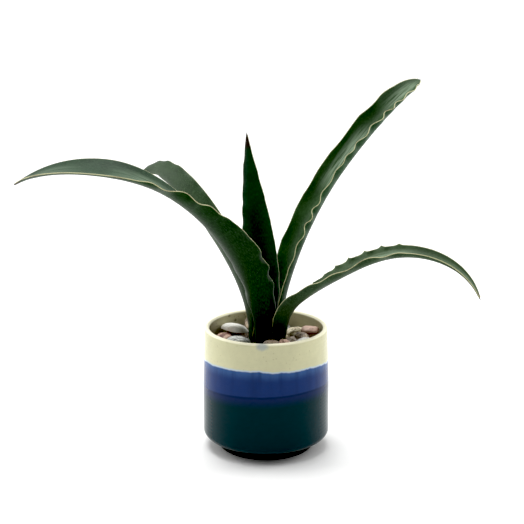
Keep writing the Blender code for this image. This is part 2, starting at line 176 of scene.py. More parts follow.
def new_group(name: str, kind: str, inputs: dict[str, tuple[str, Any]], outputs: dict[str, str]) -> Graph:
    """Starts a node group with named sockets.

    Args:
        name: the group's name.
        kind: ShaderNodeTree or GeometryNodeTree.
        inputs: each input's socket type and starting value.
        outputs: each output's socket type.

    Returns:
        The graph of the new group.
    """
    tree = bpy.data.node_groups.new(name, kind)
    for label, (socket_type, value) in inputs.items():
        socket = tree.interface.new_socket(label, in_out="INPUT", socket_type=socket_type)
        if value is not None:
            socket.default_value = value
    for label, socket_type in outputs.items():
        tree.interface.new_socket(label, in_out="OUTPUT", socket_type=socket_type)
    return Graph(tree)


def speckle_group() -> bpy.types.NodeTree:
    """Mask of scattered specks, which glaze, leaf and shell share."""
    graph = new_group(
        "Speckles",
        "ShaderNodeTree",
        {
            "Vector": ("NodeSocketVector", None),
            "Scale": ("NodeSocketFloat", 400.0),
            "Size": ("NodeSocketFloat", 0.2),
            "Share": ("NodeSocketFloat", 0.3),
        },
        {"Mask": "NodeSocketFloat"},
    )
    inlet = graph.add("NodeGroupInput")
    cells = graph.add(
        "ShaderNodeTexVoronoi", {"Vector": inlet.outputs["Vector"], "Scale": inlet.outputs["Scale"]}
    )
    chance = graph.add("ShaderNodeSeparateColor", {0: cells.outputs["Color"]}).outputs[0]
    chosen = graph.math("LESS_THAN", chance, inlet.outputs["Share"])
    round_off = graph.math("MULTIPLY", inlet.outputs["Size"], 0.6)
    inputs = {
        "Value": cells.outputs["Distance"],
        "From Min": inlet.outputs["Size"],
        "From Max": round_off,
    }
    dot = graph.add("ShaderNodeMapRange", inputs).outputs[0]
    outlet = graph.add("NodeGroupOutput")
    graph.tree.links.new(graph.math("MULTIPLY", dot, chosen), outlet.inputs["Mask"])
    return graph.tree


def mottle_group() -> bpy.types.NodeTree:
    """Two scales of soft cloudy variation, which every finish uses for its colour and roughness."""
    graph = new_group(
        "Mottle",
        "ShaderNodeTree",
        {
            "Vector": ("NodeSocketVector", None),
            "Coarse": ("NodeSocketFloat", 40.0),
            "Fine": ("NodeSocketFloat", 300.0),
        },
        {"Value": "NodeSocketFloat"},
    )
    inlet = graph.add("NodeGroupInput")
    parts = []
    for scale, weight in (("Coarse", 0.65), ("Fine", 0.35)):
        inputs = {"Vector": inlet.outputs["Vector"], "Scale": inlet.outputs[scale], "Detail": 3.0}
        cloud = graph.add("ShaderNodeTexNoise", inputs).outputs["Fac"]
        parts.append(graph.math("MULTIPLY", cloud, weight))
    outlet = graph.add("NodeGroupOutput")
    graph.tree.links.new(graph.math("ADD", *parts), outlet.inputs["Value"])
    return graph.tree


class Effects:
    """The shared shader groups, built once."""

    def __init__(self) -> None:
        """Builds both groups."""
        self.speckles = speckle_group()
        self.mottle = mottle_group()


def new_material(name: str) -> tuple[bpy.types.Material, Graph, bpy.types.Node]:
    """A new material with its graph and its Principled shader."""
    material = bpy.data.materials.new(name)
    material.use_nodes = True
    return material, Graph(material.node_tree), material.node_tree.nodes["Principled BSDF"]


def join(graph: Graph, shader: bpy.types.Node, **sockets: Socket) -> None:
    """Joins sockets to the shader's inputs; an underscore in a key stands for a space."""
    for key, socket in sockets.items():
        graph.tree.links.new(socket, shader.inputs[key.replace("_", " ")])


def bump(graph: Graph, height: Socket, distance: float, strength: float = 1.0) -> Socket:
    """Normal from a height in the range 0 to 1, over a distance in metres."""
    inputs = {"Height": height, "Distance": distance, "Strength": strength}
    return graph.add("ShaderNodeBump", inputs).outputs["Normal"]


# Finishes


@dataclass(frozen=True)
class GlazeFinish:
    """Dipped glazes: cream above, a blue band where they meet, dark teal below, and a bare foot painted near
    black: its clay colour with painted shade.
    """

    cream: Colour = (0.64, 0.625, 0.4)
    meeting: Colour = (0.5, 0.6, 0.68)
    blue: Colour = (0.016, 0.04, 0.15)
    blue_top: Colour = (0.045, 0.105, 0.27)
    deep_line: Colour = (0.004, 0.018, 0.07)
    teal: Colour = (0.0005, 0.023, 0.029)
    bare_clay_and_shade: Colour = (0.014, 0.016, 0.012)
    speck: Colour = (0.24, 0.19, 0.1)
    smudge: Colour = (0.33, 0.38, 0.4)
    smudge_at: tuple[float, float, float] = (-3.8 * MM, -59.0 * MM, 116.2 * MM)
    lip: Colour = (0.93, 0.9, 0.68)
    cream_edge: float = 92.6 * MM
    dip_tilt: float = 4.6 * MM  # how much lower the glazes end at the sides and the back
    line_height: float = 67.6 * MM
    line_lean: float = 0.04  # rise of the deep line from left to right
    teal_top: float = 58.0 * MM
    bare_top: float = 11.5 * MM
    lip_bottom: float = 116.3 * MM

    def build(self, effects: Effects) -> bpy.types.Material:
        """Makes the pot's material."""
        material, graph, shader = new_material("pot_glaze")
        place = graph.place()
        inside = graph.attribute("inside")
        sway = graph.noise(graph.place((1.0, 1.0, 0.2)), 22.0, 2.0)
        ripple = graph.noise(graph.place((1.0, 1.0, 0.3)), 130.0, 2.0)
        wander = graph.math(
            "ADD", graph.math("MULTIPLY", sway, 5.0 * MM), graph.math("MULTIPLY", ripple, 3.0 * MM)
        )
        drift = graph.math("SUBTRACT", wander, 4.0 * MM)
        parts = graph.add("ShaderNodeSeparateXYZ", {0: place}).outputs
        tilt = graph.math("MULTIPLY", graph.span(parts[1], -0.06, 0.0), self.dip_tilt)
        tilted = graph.math("ADD", graph.height(), tilt)
        level = graph.math("ADD", tilted, drift)
        deep_sway = graph.noise(graph.place((1.0, 1.0, 0.1)), 9.0, 1.0)
        deep_drift = graph.math("MULTIPLY", graph.math("SUBTRACT", deep_sway, 0.5), 3.0 * MM)
        lean = graph.math("MULTIPLY", parts[0], self.line_lean)
        deep_level = graph.math("SUBTRACT", graph.math("ADD", tilted, deep_drift), lean)
        colour = self.lower_colours(graph, level, deep_level)
        specks = graph.group(effects.speckles, {"Vector": place, "Scale": 330.0, "Size": 0.26, "Share": 0.2})
        fine = graph.group(effects.speckles, {"Vector": place, "Scale": 900.0, "Size": 0.3, "Share": 0.16})
        more_inside = graph.math("ADD", 0.25, graph.math("MULTIPLY", inside, 0.6))
        mask = graph.math("MULTIPLY", graph.math("MAXIMUM", specks.outputs[0], fine.outputs[0]), more_inside)
        clouds = graph.group(effects.mottle, {"Vector": place, "Coarse": 30.0, "Fine": 210.0}).outputs[0]
        warm = graph.mix(graph.span(clouds, 0.35, 0.65), tuple(0.93 * c for c in self.cream), self.cream)
        cream = graph.mix(mask, warm, self.speck)
        # Painted shade: the cream inside the pot is painted darker.
        shade = graph.math("MULTIPLY", inside, 0.55)
        cream = graph.mix(shade, cream, (0.3, 0.27, 0.19))
        flecks = graph.group(effects.speckles, {"Vector": place, "Scale": 190.0, "Size": 0.34, "Share": 0.42})
        stains = graph.math("MULTIPLY", flecks.outputs[0], graph.span(clouds, 0.47, 0.6))
        cream = graph.mix(
            graph.math("MULTIPLY", graph.math("MULTIPLY", stains, inside), 0.8), cream, (0.04, 0.03, 0.018)
        )
        pooled = graph.span(graph.height(), self.lip_bottom, self.lip_bottom + 1.2 * MM)
        cream = graph.mix(graph.math("MULTIPLY", pooled, 0.85), cream, self.lip)
        cream = graph.mix(self.smudge_mask(graph), cream, self.smudge)
        above = graph.math(
            "MAXIMUM", graph.span(level, self.cream_edge - 0.5 * MM, self.cream_edge + 0.7 * MM), inside
        )
        colour = graph.mix(above, colour, cream)
        bare = graph.math(
            "SUBTRACT", 1.0, graph.span(graph.height(), self.bare_top - 0.4 * MM, self.bare_top)
        )
        bare = graph.math("MULTIPLY", bare, graph.math("SUBTRACT", 1.0, inside))
        # Painted shade: the bare foot is painted near black, its clay colour darkened by painted shade under
        # the heel.
        colour = graph.mix(bare, colour, self.bare_clay_and_shade)
        gloss = graph.math("ADD", 0.1, graph.math("MULTIPLY", clouds, 0.1))
        roughness = graph.math("ADD", gloss, graph.math("MULTIPLY", bare, 0.45))
        throwing = graph.noise(graph.place((0.05, 0.05, 1.0)), 330.0, 2.0)
        relief = graph.math("ADD", graph.math("MULTIPLY", throwing, 0.5), graph.math("MULTIPLY", clouds, 0.6))
        join(graph, shader, Base_Color=colour, Roughness=roughness, Normal=bump(graph, relief, 0.2 * MM, 0.3))
        shader.inputs["Specular IOR Level"].default_value = 0.13
        return material

    def smudge_mask(self, graph: Graph) -> Socket:
        """Mask of a small patch under the lip where a little blue glaze ran over the cream."""
        where = graph.add("ShaderNodeTexCoord").outputs["Object"]
        scale = (1.0, 0.4, 1.5)
        shift = tuple(-a * b for a, b in zip(self.smudge_at, scale))
        near = graph.add("ShaderNodeMapping", {"Vector": where, "Location": shift, "Scale": scale}).outputs[0]
        distance = graph.add("ShaderNodeVectorMath", {0: near}, operation="LENGTH").outputs["Value"]
        ragged = graph.math("ADD", distance, graph.math("MULTIPLY", graph.noise(where, 420.0), 3.0 * MM))
        return graph.math(
            "MULTIPLY", graph.math("SUBTRACT", 1.0, graph.span(ragged, 4.4 * MM, 9.0 * MM)), 0.7
        )

    def lower_colours(self, graph: Graph, level: Socket, deep_level: Socket) -> Socket:
        """Colour below the cream.

        Args:
            graph: the material's graph.
            level: height along which the upper edge runs.
            deep_level: height along which the deep line runs.

        Returns:
            The colour socket.
        """
        blend = graph.mix(graph.span(deep_level, self.teal_top - 2 * MM, self.line_height - 1 * MM),
                          self.teal, tuple(0.55 * c for c in self.blue))
        band = graph.mix(graph.span(level, self.cream_edge - 11 * MM, self.cream_edge - 1 * MM), self.blue,
                         self.blue_top)
        streaks = graph.noise(graph.place((1.0, 1.0, 0.12)), 150.0, 3.0)
        band = graph.mix(graph.math("MULTIPLY", graph.span(streaks, 0.4, 0.75), 0.4), band,
                         tuple(0.6 * c for c in self.blue))
        colour = graph.mix(graph.span(deep_level, self.line_height, self.line_height + 0.8 * MM), blend, band)
        from_line = graph.math("ABSOLUTE", graph.math("SUBTRACT", deep_level, self.line_height))
        line = graph.math("SUBTRACT", 1.0, graph.span(from_line, 0.4 * MM, 1.8 * MM))
        colour = graph.mix(graph.math("MULTIPLY", line, 0.85), colour, self.deep_line)
        fringe = graph.span(level, self.cream_edge - 2.0 * MM, self.cream_edge - 0.5 * MM)
        return graph.mix(fringe, colour, self.meeting)


@dataclass(frozen=True)
class LeafFinish:
    """Leathery leaf: dark green, with painted sheen that makes its inner face paler, fine light flecks and a
    brown spine.
    """

    name: str
    outer: Colour
    inner: Colour
    fleck: Colour = (0.2, 0.27, 0.27)
    # painted shade: the colour that the leaf's base is painted towards
    base_shade_colour: Colour = (0.008, 0.032, 0.007)
    base_shade_to: float = 0.12  # share of the length up to which the base is painted dark as painted shade
    base_shade_fade: float = 0.3  # share of the length over which the painted shade fades out
    highlight_strength: float = 0.0  # strength of the pale highlight painted on the middle of the inner face
    flecks: float = 0.5
    sheen: float = 0.2
    horn: Colour = (0.022, 0.014, 0.01)
    # colour of the painted highlight
    highlight_paint: Colour = (0.3, 0.4, 0.28)

    def build(self, effects: Effects) -> bpy.types.Material:
        """Makes the leaf's material."""
        material, graph, shader = new_material(self.name)
        place = graph.place()
        inner = graph.attribute("inner")
        edge = graph.attribute("edge")
        along = graph.attribute("along")
        across = graph.attribute("across")
        clouds = graph.group(effects.mottle, {"Vector": place, "Coarse": 55.0, "Fine": 420.0}).outputs[0]
        stripes_at = graph.add(
            "ShaderNodeCombineXYZ", {0: across, 1: graph.math("MULTIPLY", along, 0.25)}
        ).outputs[0]
        stripes = graph.noise(stripes_at, 26.0, 4.0)
        # Painted shade: both faces are painted darker towards the leaf's base.
        past_base_shade = graph.span(graph.attribute("share"), self.base_shade_to, self.base_shade_to + self.base_shade_fade)
        outer = graph.mix(past_base_shade, tuple(0.6 * c for c in self.outer), self.outer)
        # Painted sheen: the inner face takes the paler inner colour.
        green = graph.mix(inner, outer, graph.mix(past_base_shade, self.base_shade_colour, self.inner))
        deep = graph.mix(0.4, green, (0.002, 0.008, 0.003))
        colour = graph.mix(graph.span(clouds, 0.32, 0.68), deep, green)
        pale = graph.mix(inner, tuple(2.2 * c for c in self.outer), tuple(1.7 * c for c in self.inner))
        colour = graph.mix(graph.math("MULTIPLY", graph.span(stripes, 0.42, 0.72), 0.45), colour, pale)
        # Painted highlight: pale streaky patches on the middle of the inner face, at fixed shares of the
        # length.
        share = graph.attribute("share")
        low_highlight_patch = graph.math("MULTIPLY", graph.span(share, 0.44, 0.57), graph.span(share, 0.74, 0.62))
        high_highlight_patch = graph.math("MULTIPLY", graph.span(share, 0.76, 0.88), graph.span(share, 1.0, 0.92))
        highlight_patches = graph.math("ADD", low_highlight_patch, graph.math("MULTIPLY", high_highlight_patch, 0.6))
        streaks_at = graph.add(
            "ShaderNodeCombineXYZ", {0: across, 1: graph.math("MULTIPLY", along, 0.06)}
        ).outputs[0]
        highlight_streaks = graph.span(graph.noise(streaks_at, 9.0, 4.0), 0.3, 0.6)
        middle = graph.math("MULTIPLY", graph.span(edge, 0.8, 0.3), inner)
        highlight_paint = graph.math(
            "MULTIPLY", graph.math("MULTIPLY", highlight_patches, highlight_streaks), graph.math("MULTIPLY", middle, self.highlight_strength)
        )
        colour = graph.mix(highlight_paint, colour, self.highlight_paint)
        dots = graph.group(effects.speckles, {"Vector": place, "Scale": 620.0, "Size": 0.26, "Share": 0.14})
        few = graph.math("MULTIPLY", dots.outputs[0], self.flecks)
        colour = graph.mix(few, colour, self.fleck)
        pale_rim = graph.math("MULTIPLY", graph.span(edge, 0.9, 0.99), 0.3)
        colour = graph.mix(pale_rim, colour, pale)
        colour = graph.mix(graph.attribute("horn"), colour, self.horn)
        roughness = graph.math("ADD", 0.34, graph.math("MULTIPLY", clouds, 0.16))
        relief = graph.math("ADD", graph.math("MULTIPLY", stripes, 0.7), graph.math("MULTIPLY", clouds, 0.5))
        join(graph, shader, Base_Color=colour, Roughness=roughness, Normal=bump(graph, relief, 0.5 * MM, 0.6))
        shader.inputs["Specular IOR Level"].default_value = self.sheen
        return material


@dataclass(frozen=True)
class HornFinish:
    """The thin horny margin with its teeth: cream to tan."""

    pale: Colour = (0.56, 0.55, 0.31)
    tan: Colour = (0.26, 0.18, 0.09)

    def build(self, effects: Effects) -> bpy.types.Material:
        """Makes the margin's material."""
        material, graph, shader = new_material("leaf_margin")
        clouds = graph.group(
            effects.mottle, {"Vector": graph.place(), "Coarse": 90.0, "Fine": 900.0}
        ).outputs[0]
        colour = graph.mix(graph.span(clouds, 0.5, 0.68), self.pale, self.tan)
        join(graph, shader, Base_Color=colour, Normal=bump(graph, clouds, 0.1 * MM))
        shader.inputs["Roughness"].default_value = 0.5
        return material


@dataclass(frozen=True)
class ShellFinish:
    """Sea shell: bands of growth between two shades, chalky where it is worn."""

    name: str
    light: Colour
    dark: Colour
    bands: float
    rays: float = 0.7  # how strongly the rays from the hinge show

    def build(self, effects: Effects) -> bpy.types.Material:
        """Makes the shell's material."""
        material, graph, shader = new_material(self.name)
        place = graph.place()
        clouds = graph.group(effects.mottle, {"Vector": place, "Coarse": 70.0, "Fine": 700.0}).outputs[0]
        growth = graph.math("ADD", graph.attribute("growth"), graph.math("MULTIPLY", clouds, 0.5))
        own = graph.attribute("own")
        at = graph.add("ShaderNodeCombineXYZ", {0: growth, 1: own}).outputs[0]
        layers = graph.noise(at, self.bands, 4.0)
        rays_at = graph.add("ShaderNodeCombineXYZ", {0: graph.attribute("ray"), 1: own}).outputs[0]
        rays = graph.noise(rays_at, 3.5, 2.0)
        colour = graph.mix(graph.span(layers, 0.42, 0.62), self.light, self.dark)
        colour = graph.mix(graph.math("MULTIPLY", graph.span(rays, 0.52, 0.62), self.rays), colour, self.dark)
        shade = graph.math("MULTIPLY", graph.span(own, 0.0, 1.0), 0.35)
        colour = graph.mix(shade, colour, self.dark)
        grit = graph.group(
            effects.speckles, {"Vector": place, "Scale": 700.0, "Size": 0.3, "Share": 0.2}
        ).outputs[0]
        colour = graph.mix(graph.math("MULTIPLY", grit, 0.35), colour, tuple(0.4 * c for c in self.dark))
        roughness = graph.math("ADD", 0.3, graph.math("MULTIPLY", clouds, 0.35))
        relief = graph.math("ADD", layers, graph.math("MULTIPLY", clouds, 0.6))
        join(
            graph, shader, Base_Color=colour, Roughness=roughness, Normal=bump(graph, relief, 0.25 * MM, 0.7)
        )
        return material


@dataclass(frozen=True)
class SoilFinish:
    """Damp potting soil and the root crown in it."""

    name: str
    dark: Colour
    light: Colour

    def build(self, effects: Effects) -> bpy.types.Material:
        """Makes an earthy material."""
        material, graph, shader = new_material(self.name)
        clouds = graph.group(
            effects.mottle, {"Vector": graph.place(), "Coarse": 160.0, "Fine": 1500.0}
        ).outputs[0]
        colour = graph.mix(graph.span(clouds, 0.4, 0.62), self.dark, self.light)
        join(graph, shader, Base_Color=colour, Normal=bump(graph, clouds, 1.5 * MM))
        shader.inputs["Roughness"].default_value = 0.92
        return material


GLAZE = GlazeFinish()
HORN = HornFinish()
SOIL = SoilFinish("soil", (0.012, 0.009, 0.007), (0.05, 0.036, 0.026))
CROWN = SoilFinish("root_crown", (0.1, 0.08, 0.045), (0.26, 0.22, 0.13))
SHELLS = (
    ShellFinish("shell_white", (0.98, 0.98, 0.92), (0.8, 0.77, 0.68), 4.0, 0.15),
    ShellFinish("shell_grey", (0.74, 0.76, 0.7), (0.06, 0.07, 0.085), 5.0, 0.5),
    ShellFinish("shell_cream", (0.93, 0.87, 0.64), (0.24, 0.15, 0.07), 4.5),
    ShellFinish("shell_rose", (0.8, 0.57, 0.44), (0.16, 0.06, 0.045), 4.5),
    ShellFinish("shell_brown", (0.66, 0.53, 0.39), (0.05, 0.03, 0.022), 4.5),
)


# Meshes


def mesh_object(name: str, mesh: bpy.types.Mesh, material: bpy.types.Material) -> bpy.types.Object:
    """A smooth-shaded object of one material, linked to the scene."""
    mesh.materials.clear()
    mesh.materials.append(material)
    mesh.shade_smooth()
    obj = bpy.data.objects.new(name, mesh)
    bpy.context.scene.collection.objects.link(obj)
    return obj


def store(mesh: bpy.types.Mesh, name: str, values: Any) -> None:
    """Stores a number for each vertex."""
    attribute = mesh.attributes.new(name, "FLOAT", "POINT")
    attribute.data.foreach_set("value", np.asarray(values, np.float32).ravel())


def grid_faces(rows: int, columns: int, closed: bool) -> list[tuple[int, ...]]:
    """Quads between the points of a grid.

    Args:
        rows: number of rows.
        columns: points in each row.
        closed: joins each row's last point to its first.

    Returns:
        Each face's vertex numbers.
    """
    faces = []
    last = columns if closed else columns - 1
    for row in range(rows - 1):
        for column in range(last):
            after = (column + 1) % columns
            a, b = row * columns, (row + 1) * columns
            faces.append((a + column, a + after, b + after, b + column))
    return faces


def facing_out(mesh: bpy.types.Mesh) -> None:
    """Merges doubles and turns every face of a closed mesh outwards."""
    made = bmesh.new()
    made.from_mesh(mesh)
    bmesh.ops.remove_doubles(made, verts=made.verts, dist=1e-6)
    bmesh.ops.recalc_face_normals(made, faces=made.faces)
    made.to_mesh(mesh)
    made.free()


def settled(obj: bpy.types.Object) -> None:
    """Replaces an object's mesh with what its modifiers make, and removes them."""
    graph = bpy.context.evaluated_depsgraph_get()
    mesh = bpy.data.meshes.new_from_object(obj.evaluated_get(graph))
    obj.modifiers.clear()
    obj.data = mesh


def set_inputs(modifier: bpy.types.Modifier, values: dict[str, Any]) -> None:
    """Sets a Geometry Nodes modifier's inputs by the identifiers of their sockets."""
    for item in modifier.node_group.interface.items_tree:
        if item.item_type == "SOCKET" and item.in_out == "INPUT" and item.name in values:
            modifier[item.identifier] = values[item.name]


def finish_piece(obj: bpy.types.Object, slot: str, *nodes: str) -> None:
    """Joins a finished piece to the model.

    Args:
        obj: the piece.
        slot: the material slot it belongs to; not used.
        nodes: the CAD nodes that it stands for.
    """
    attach(obj, "root")
    if nodes:
        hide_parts(*nodes)
    log.info("%s: %d faces", obj.name, len(obj.data.polygons))


def smooth_step(value: np.ndarray, low: float, high: float) -> np.ndarray:
    """0 below low, 1 above high, and smooth between them."""
    share = np.clip((value - low) / (high - low), 0.0, 1.0)
    return share * share * (3 - 2 * share)


# Pot


@dataclass
class Pot:
    """The glazed vessel, turned in fine steps with its throwing rings."""

    height: float
    radius: float
    lip_radius: float = 58.4 * MM
    wall: float = 5.0 * MM
    floor: float = 12.0 * MM
    taper_start: float = 62.0 * MM
    heel_top: float = 17.0 * MM
    heel_radius: float = 51.5 * MM
    foot_radius: float = 45.0 * MM
    foot_height: float = 9.5 * MM
    foot_edge: float = 1.4 * MM
    segments: int = 160
    step: float = 0.9 * MM
    ring_height: float = 0.035 * MM
    ring_spacing: float = 3.1 * MM

    @classmethod
    def from_frame(cls) -> "Pot":
        """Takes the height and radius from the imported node."""
        low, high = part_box("pot")
        return cls(height=high[2], radius=(high[0] - low[0]) / 2)

    def outline(self) -> list[tuple[float, float, float]]:
        """Half section as (radius, height, inside) corners, from the floor's centre to the underside."""
        inner = self.radius - self.wall
        corner = 9.0 * MM
        lip = self.wall / 2
        points = [(0.0, self.floor, 1.0), (inner - corner, self.floor, 1.0)]
        for turn in np.radians(np.linspace(-75, 0, 6)):
            points.append(
                (inner - corner + corner * math.cos(turn), self.floor + corner + corner * math.sin(turn), 1.0)
            )
        points.append((inner, self.taper_start, 1.0))
        for turn in np.radians(np.linspace(172, 0, 15)):
            centre = (self.lip_radius - lip, self.height - lip)
            inside = 1.0 if turn > math.pi / 2 else 0.0
            points.append((centre[0] + lip * math.cos(turn), centre[1] + lip * math.sin(turn), inside))
        points.append((self.radius, self.taper_start, 0.0))
        rise = self.heel_top - self.foot_height
        for turn in np.radians(np.linspace(0, -90, 9)):
            reach = self.radius - self.heel_radius
            points.append(
                (self.heel_radius + reach * math.cos(turn), self.heel_top + rise * math.sin(turn), 0.0)
            )
        points.append((self.foot_radius + 0.6 * MM, self.foot_height, 0.0))
        points.append((self.foot_radius, self.foot_height - 0.6 * MM, 0.0))
        for turn in np.radians(np.linspace(0, -90, 5)):
            edge = self.foot_radius - self.foot_edge
            points.append(
                (edge + self.foot_edge * math.cos(turn), self.foot_edge * (1 + math.sin(turn)), 0.0)
            )
        points.append((0.0, 0.0, 0.0))
        return points

    def section(self) -> np.ndarray:
        """The outline in short steps, with the throwing rings on the walls."""
        corners = np.array(self.outline())
        rows = [corners[0]]
        for start, end in zip(corners, corners[1:]):
            count = max(1, round(float(np.hypot(*(end - start)[:2])) / self.step))
            rows += [start + (end - start) * i / count for i in range(1, count + 1)]
        section = np.array(rows)
        middle = (section[:, 1] > self.heel_top + 3 * MM) & (section[:, 1] < self.height - 4 * MM)
        rings = np.sin(section[:, 1] / self.ring_spacing * 2 * math.pi + 3 * np.sin(section[:, 1] * 90))
        on_wall = middle & (section[:, 0] > self.radius - self.wall - 3 * MM)
        section[:, 0] += np.where(on_wall, self.ring_height * rings, 0.0)
        return section

    def build(self) -> bpy.types.Mesh:
        """Turns the section about the axis into a closed mesh."""
        section = self.section()
        turns = np.linspace(0, 2 * math.pi, self.segments, endpoint=False)
        wobble = 1 + 0.0009 * np.sin(2 * turns + 0.6) + 0.0005 * np.sin(3 * turns)
        radius = section[:, :1] * wobble[None, :]
        height = np.repeat(section[:, 1:2], self.segments, 1)
        points = np.stack([radius * np.cos(turns), radius * np.sin(turns), height], -1).reshape(-1, 3)
        mesh = bpy.data.meshes.new("pot_glazed")
        mesh.from_pydata(points.tolist(), [], grid_faces(len(section), self.segments, True))
        store(mesh, "inside", np.repeat(section[:, 2], self.segments))
        facing_out(mesh)
        return mesh

    def dress(self, material: bpy.types.Material) -> None:
        """Adds the glazed pot to the scene."""
        finish_piece(mesh_object("pot_glazed", self.build(), material), "pot_glaze", "pot")


# Leaves


class Face(Enum):
    """The two faces of a leaf."""

    INNER = 1
    OUTER = -1


@dataclass(frozen=True)
class Margin:
    """How one margin of a leaf waves."""

    height: float  # of the waves out of the blade
    spacing: float  # from wave to wave
    start: float = 0.0  # turn of the first wave, in radians
    low: float = 0.2  # shares of the length between which it waves fully
    high: float = 0.88
    scallop: float = 0.3 * MM  # of the points between the waves, along the blade
    tooth: float = 0.8 * MM


@dataclass(frozen=True)
class LeafSpec:
    """One leaf. Angles are in degrees, given at STATIONS from base to tip."""

    name: str
    length: float
    half_width: float
    seat_radius: float
    heading: tuple[float, ...]
    climb: tuple[float, ...]
    roll: tuple[float, ...]
    fold: tuple[float, ...]
    base_share: float
    widest_at: float
    tip_power: float
    seat_shift: tuple[float, float]
    finish: LeafFinish
    spine: float  # length of the brown spine
    margins: tuple[Margin, Margin]


STATIONS = (0.0, 0.08, 0.25, 0.5, 0.75, 1.0)
# The four leaf finishes are lit and shaded copies of one leaf: the front left and centre leaves carry painted
# shade, the others painted light, and the tall right leaf has the strongest painted highlight.
SHADED = LeafFinish("leaf_shaded", (0.014, 0.038, 0.011), (0.043, 0.074, 0.045), base_shade_to=0.2, base_shade_fade=0.45,
                    flecks=0.14, sheen=0.08, highlight_strength=0.35)
PAINTED_DEEP_SHADE = LeafFinish("leaf_dark", (0.01, 0.038, 0.013), (0.01, 0.038, 0.013), flecks=0.06, sheen=0.1)
PAINTED_LIT = LeafFinish("leaf_open", (0.036, 0.064, 0.03), (0.066, 0.106, 0.053), base_shade_to=0.16, base_shade_fade=0.25,
                  flecks=0.12, sheen=0.12, highlight_strength=0.5)
PAINTED_HIGHLIGHT = LeafFinish("leaf_bloomed", (0.03, 0.07, 0.03), (0.045, 0.092, 0.036), base_shade_to=0.1, base_shade_fade=0.35,
                     flecks=0.1, sheen=0.12, highlight_strength=1.0)
LEAVES = (
    LeafSpec("leaf_front_left", 363 * MM, 21.9 * MM, 15.5 * MM,
             (267, 244, 227, 191, 165, 142), (90, 79, 56, 39, 2, -26),
             (17, 22, 26, 12, -10, -13), (74, 66, 33, 40), 0.43, 0.42, 7.4,
             (0.0, 0.0), SHADED, 13 * MM,
             (
                 Margin(2.7 * MM, 24 * MM, 0.4, 0.28, 0.56),
                 Margin(2.2 * MM, 33 * MM, 1.0, 0.14, 0.4, 1.2 * MM)
             )),
    LeafSpec("leaf_back_left", 290 * MM, 18.1 * MM, 18.5 * MM,
             (130, 145, 148, 135, 118, 136), (90, 77, 63, 40, 3, -47),
             (1, 27, 58, 89, 116, 116), (60, 49, 34, 48), 0.46, 0.3, 2.7,
             (-1.0 * MM, 2.5 * MM), PAINTED_LIT, 9 * MM,
             (Margin(1.0 * MM, 23 * MM, 1.9, scallop=0.1 * MM, tooth=0.5 * MM),
              Margin(0.8 * MM, 25 * MM, 0.3, scallop=0.1 * MM, tooth=0.5 * MM))),
    LeafSpec("leaf_centre", 217 * MM, 17.9 * MM, 4 * MM,
             (225, 236, 244, 243, 236, 227), (85, 85, 85, 78, 78, 88),
             (-9, 4, 14, 16, 13, 8), (71, 42, 10, 31), 0.42, 0.36, 2.6,
             (1.8 * MM, 0.2 * MM), PAINTED_DEEP_SHADE, 15 * MM,
             (Margin(0.5 * MM, 24 * MM, 3.1), Margin(0.6 * MM, 21 * MM, 0.9))),
    LeafSpec("leaf_right_tall", 332 * MM, 18.3 * MM, 15 * MM,
             (41, 34, 34, 32, 43, 63), (90, 83, 67, 51, 35, 6),
             (-27, -20, -6, 3, 12, 28), (59, 71, 94, 52), 0.48, 0.2, 8.3,
             (0.0, 2.0 * MM), PAINTED_HIGHLIGHT, 3 * MM,
             (Margin(1.6 * MM, 46 * MM, 5.2, 0.2, 0.8, 0.8 * MM), Margin(2.4 * MM, 19 * MM, 0.7, 0.4, 0.88))),
    LeafSpec("leaf_right_low", 260 * MM, 14.8 * MM, 19 * MM,
             (319, 318, 325, 344, 342, 340), (90, 81, 39, 29, -7, -69),
             (9, 6, 0, 10, 10, 15), (62, 60, 67, 46), 0.46, 0.22, 3.7,
             (0.0, 0.0), PAINTED_LIT, 8 * MM,
             (Margin(1.6 * MM, 15.5 * MM, 0.0, 0.2, 0.62, 2.8 * MM, 1.4 * MM),
              Margin(2.3 * MM, 29 * MM, 2.0, 0.14, 0.6))),
)


def end_grade(near_step: float, far_step: float, near_slope: float, far_slope: float) -> float:
    """Slope of a smooth curve at its end, from the steps and slopes next to it."""
    grade = ((2 * near_step + far_step) * near_slope - near_step * far_slope) / (near_step + far_step)
    if grade * near_slope <= 0:
        return 0.0
    if near_slope * far_slope < 0 and abs(grade) > 3 * abs(near_slope):
        return 3 * near_slope
    return grade


def through(stations: Any, values: Any, where: np.ndarray) -> np.ndarray:
    """A smooth curve through values that never swings past them.

    Args:
        stations: places of the values.
        values: what the curve runs through.
        where: places to read it at.

    Returns:
        The curve's values there.
    """
    x = np.asarray(stations, float)
    y = np.asarray(values, float)
    step = np.diff(x)
    slope = np.diff(y) / step
    grade = np.zeros_like(y)
    for i in range(1, len(y) - 1):
        if slope[i - 1] * slope[i] > 0:
            first = 2 * step[i] + step[i - 1]
            second = step[i] + 2 * step[i - 1]
            grade[i] = (first + second) / (first / slope[i - 1] + second / slope[i])
    grade[0] = end_grade(step[0], step[1], slope[0], slope[1])
    grade[-1] = end_grade(step[-1], step[-2], slope[-1], slope[-2])
    i = np.clip(np.searchsorted(x, where, side="right") - 1, 0, len(step) - 1)
    t = (where - x[i]) / step[i]
    rise = y[i] * (1 + 2 * t) * (1 - t) ** 2 + y[i + 1] * t * t * (3 - 2 * t)
    return rise + step[i] * (grade[i] * t * (1 - t) ** 2 + grade[i + 1] * t * t * (t - 1))


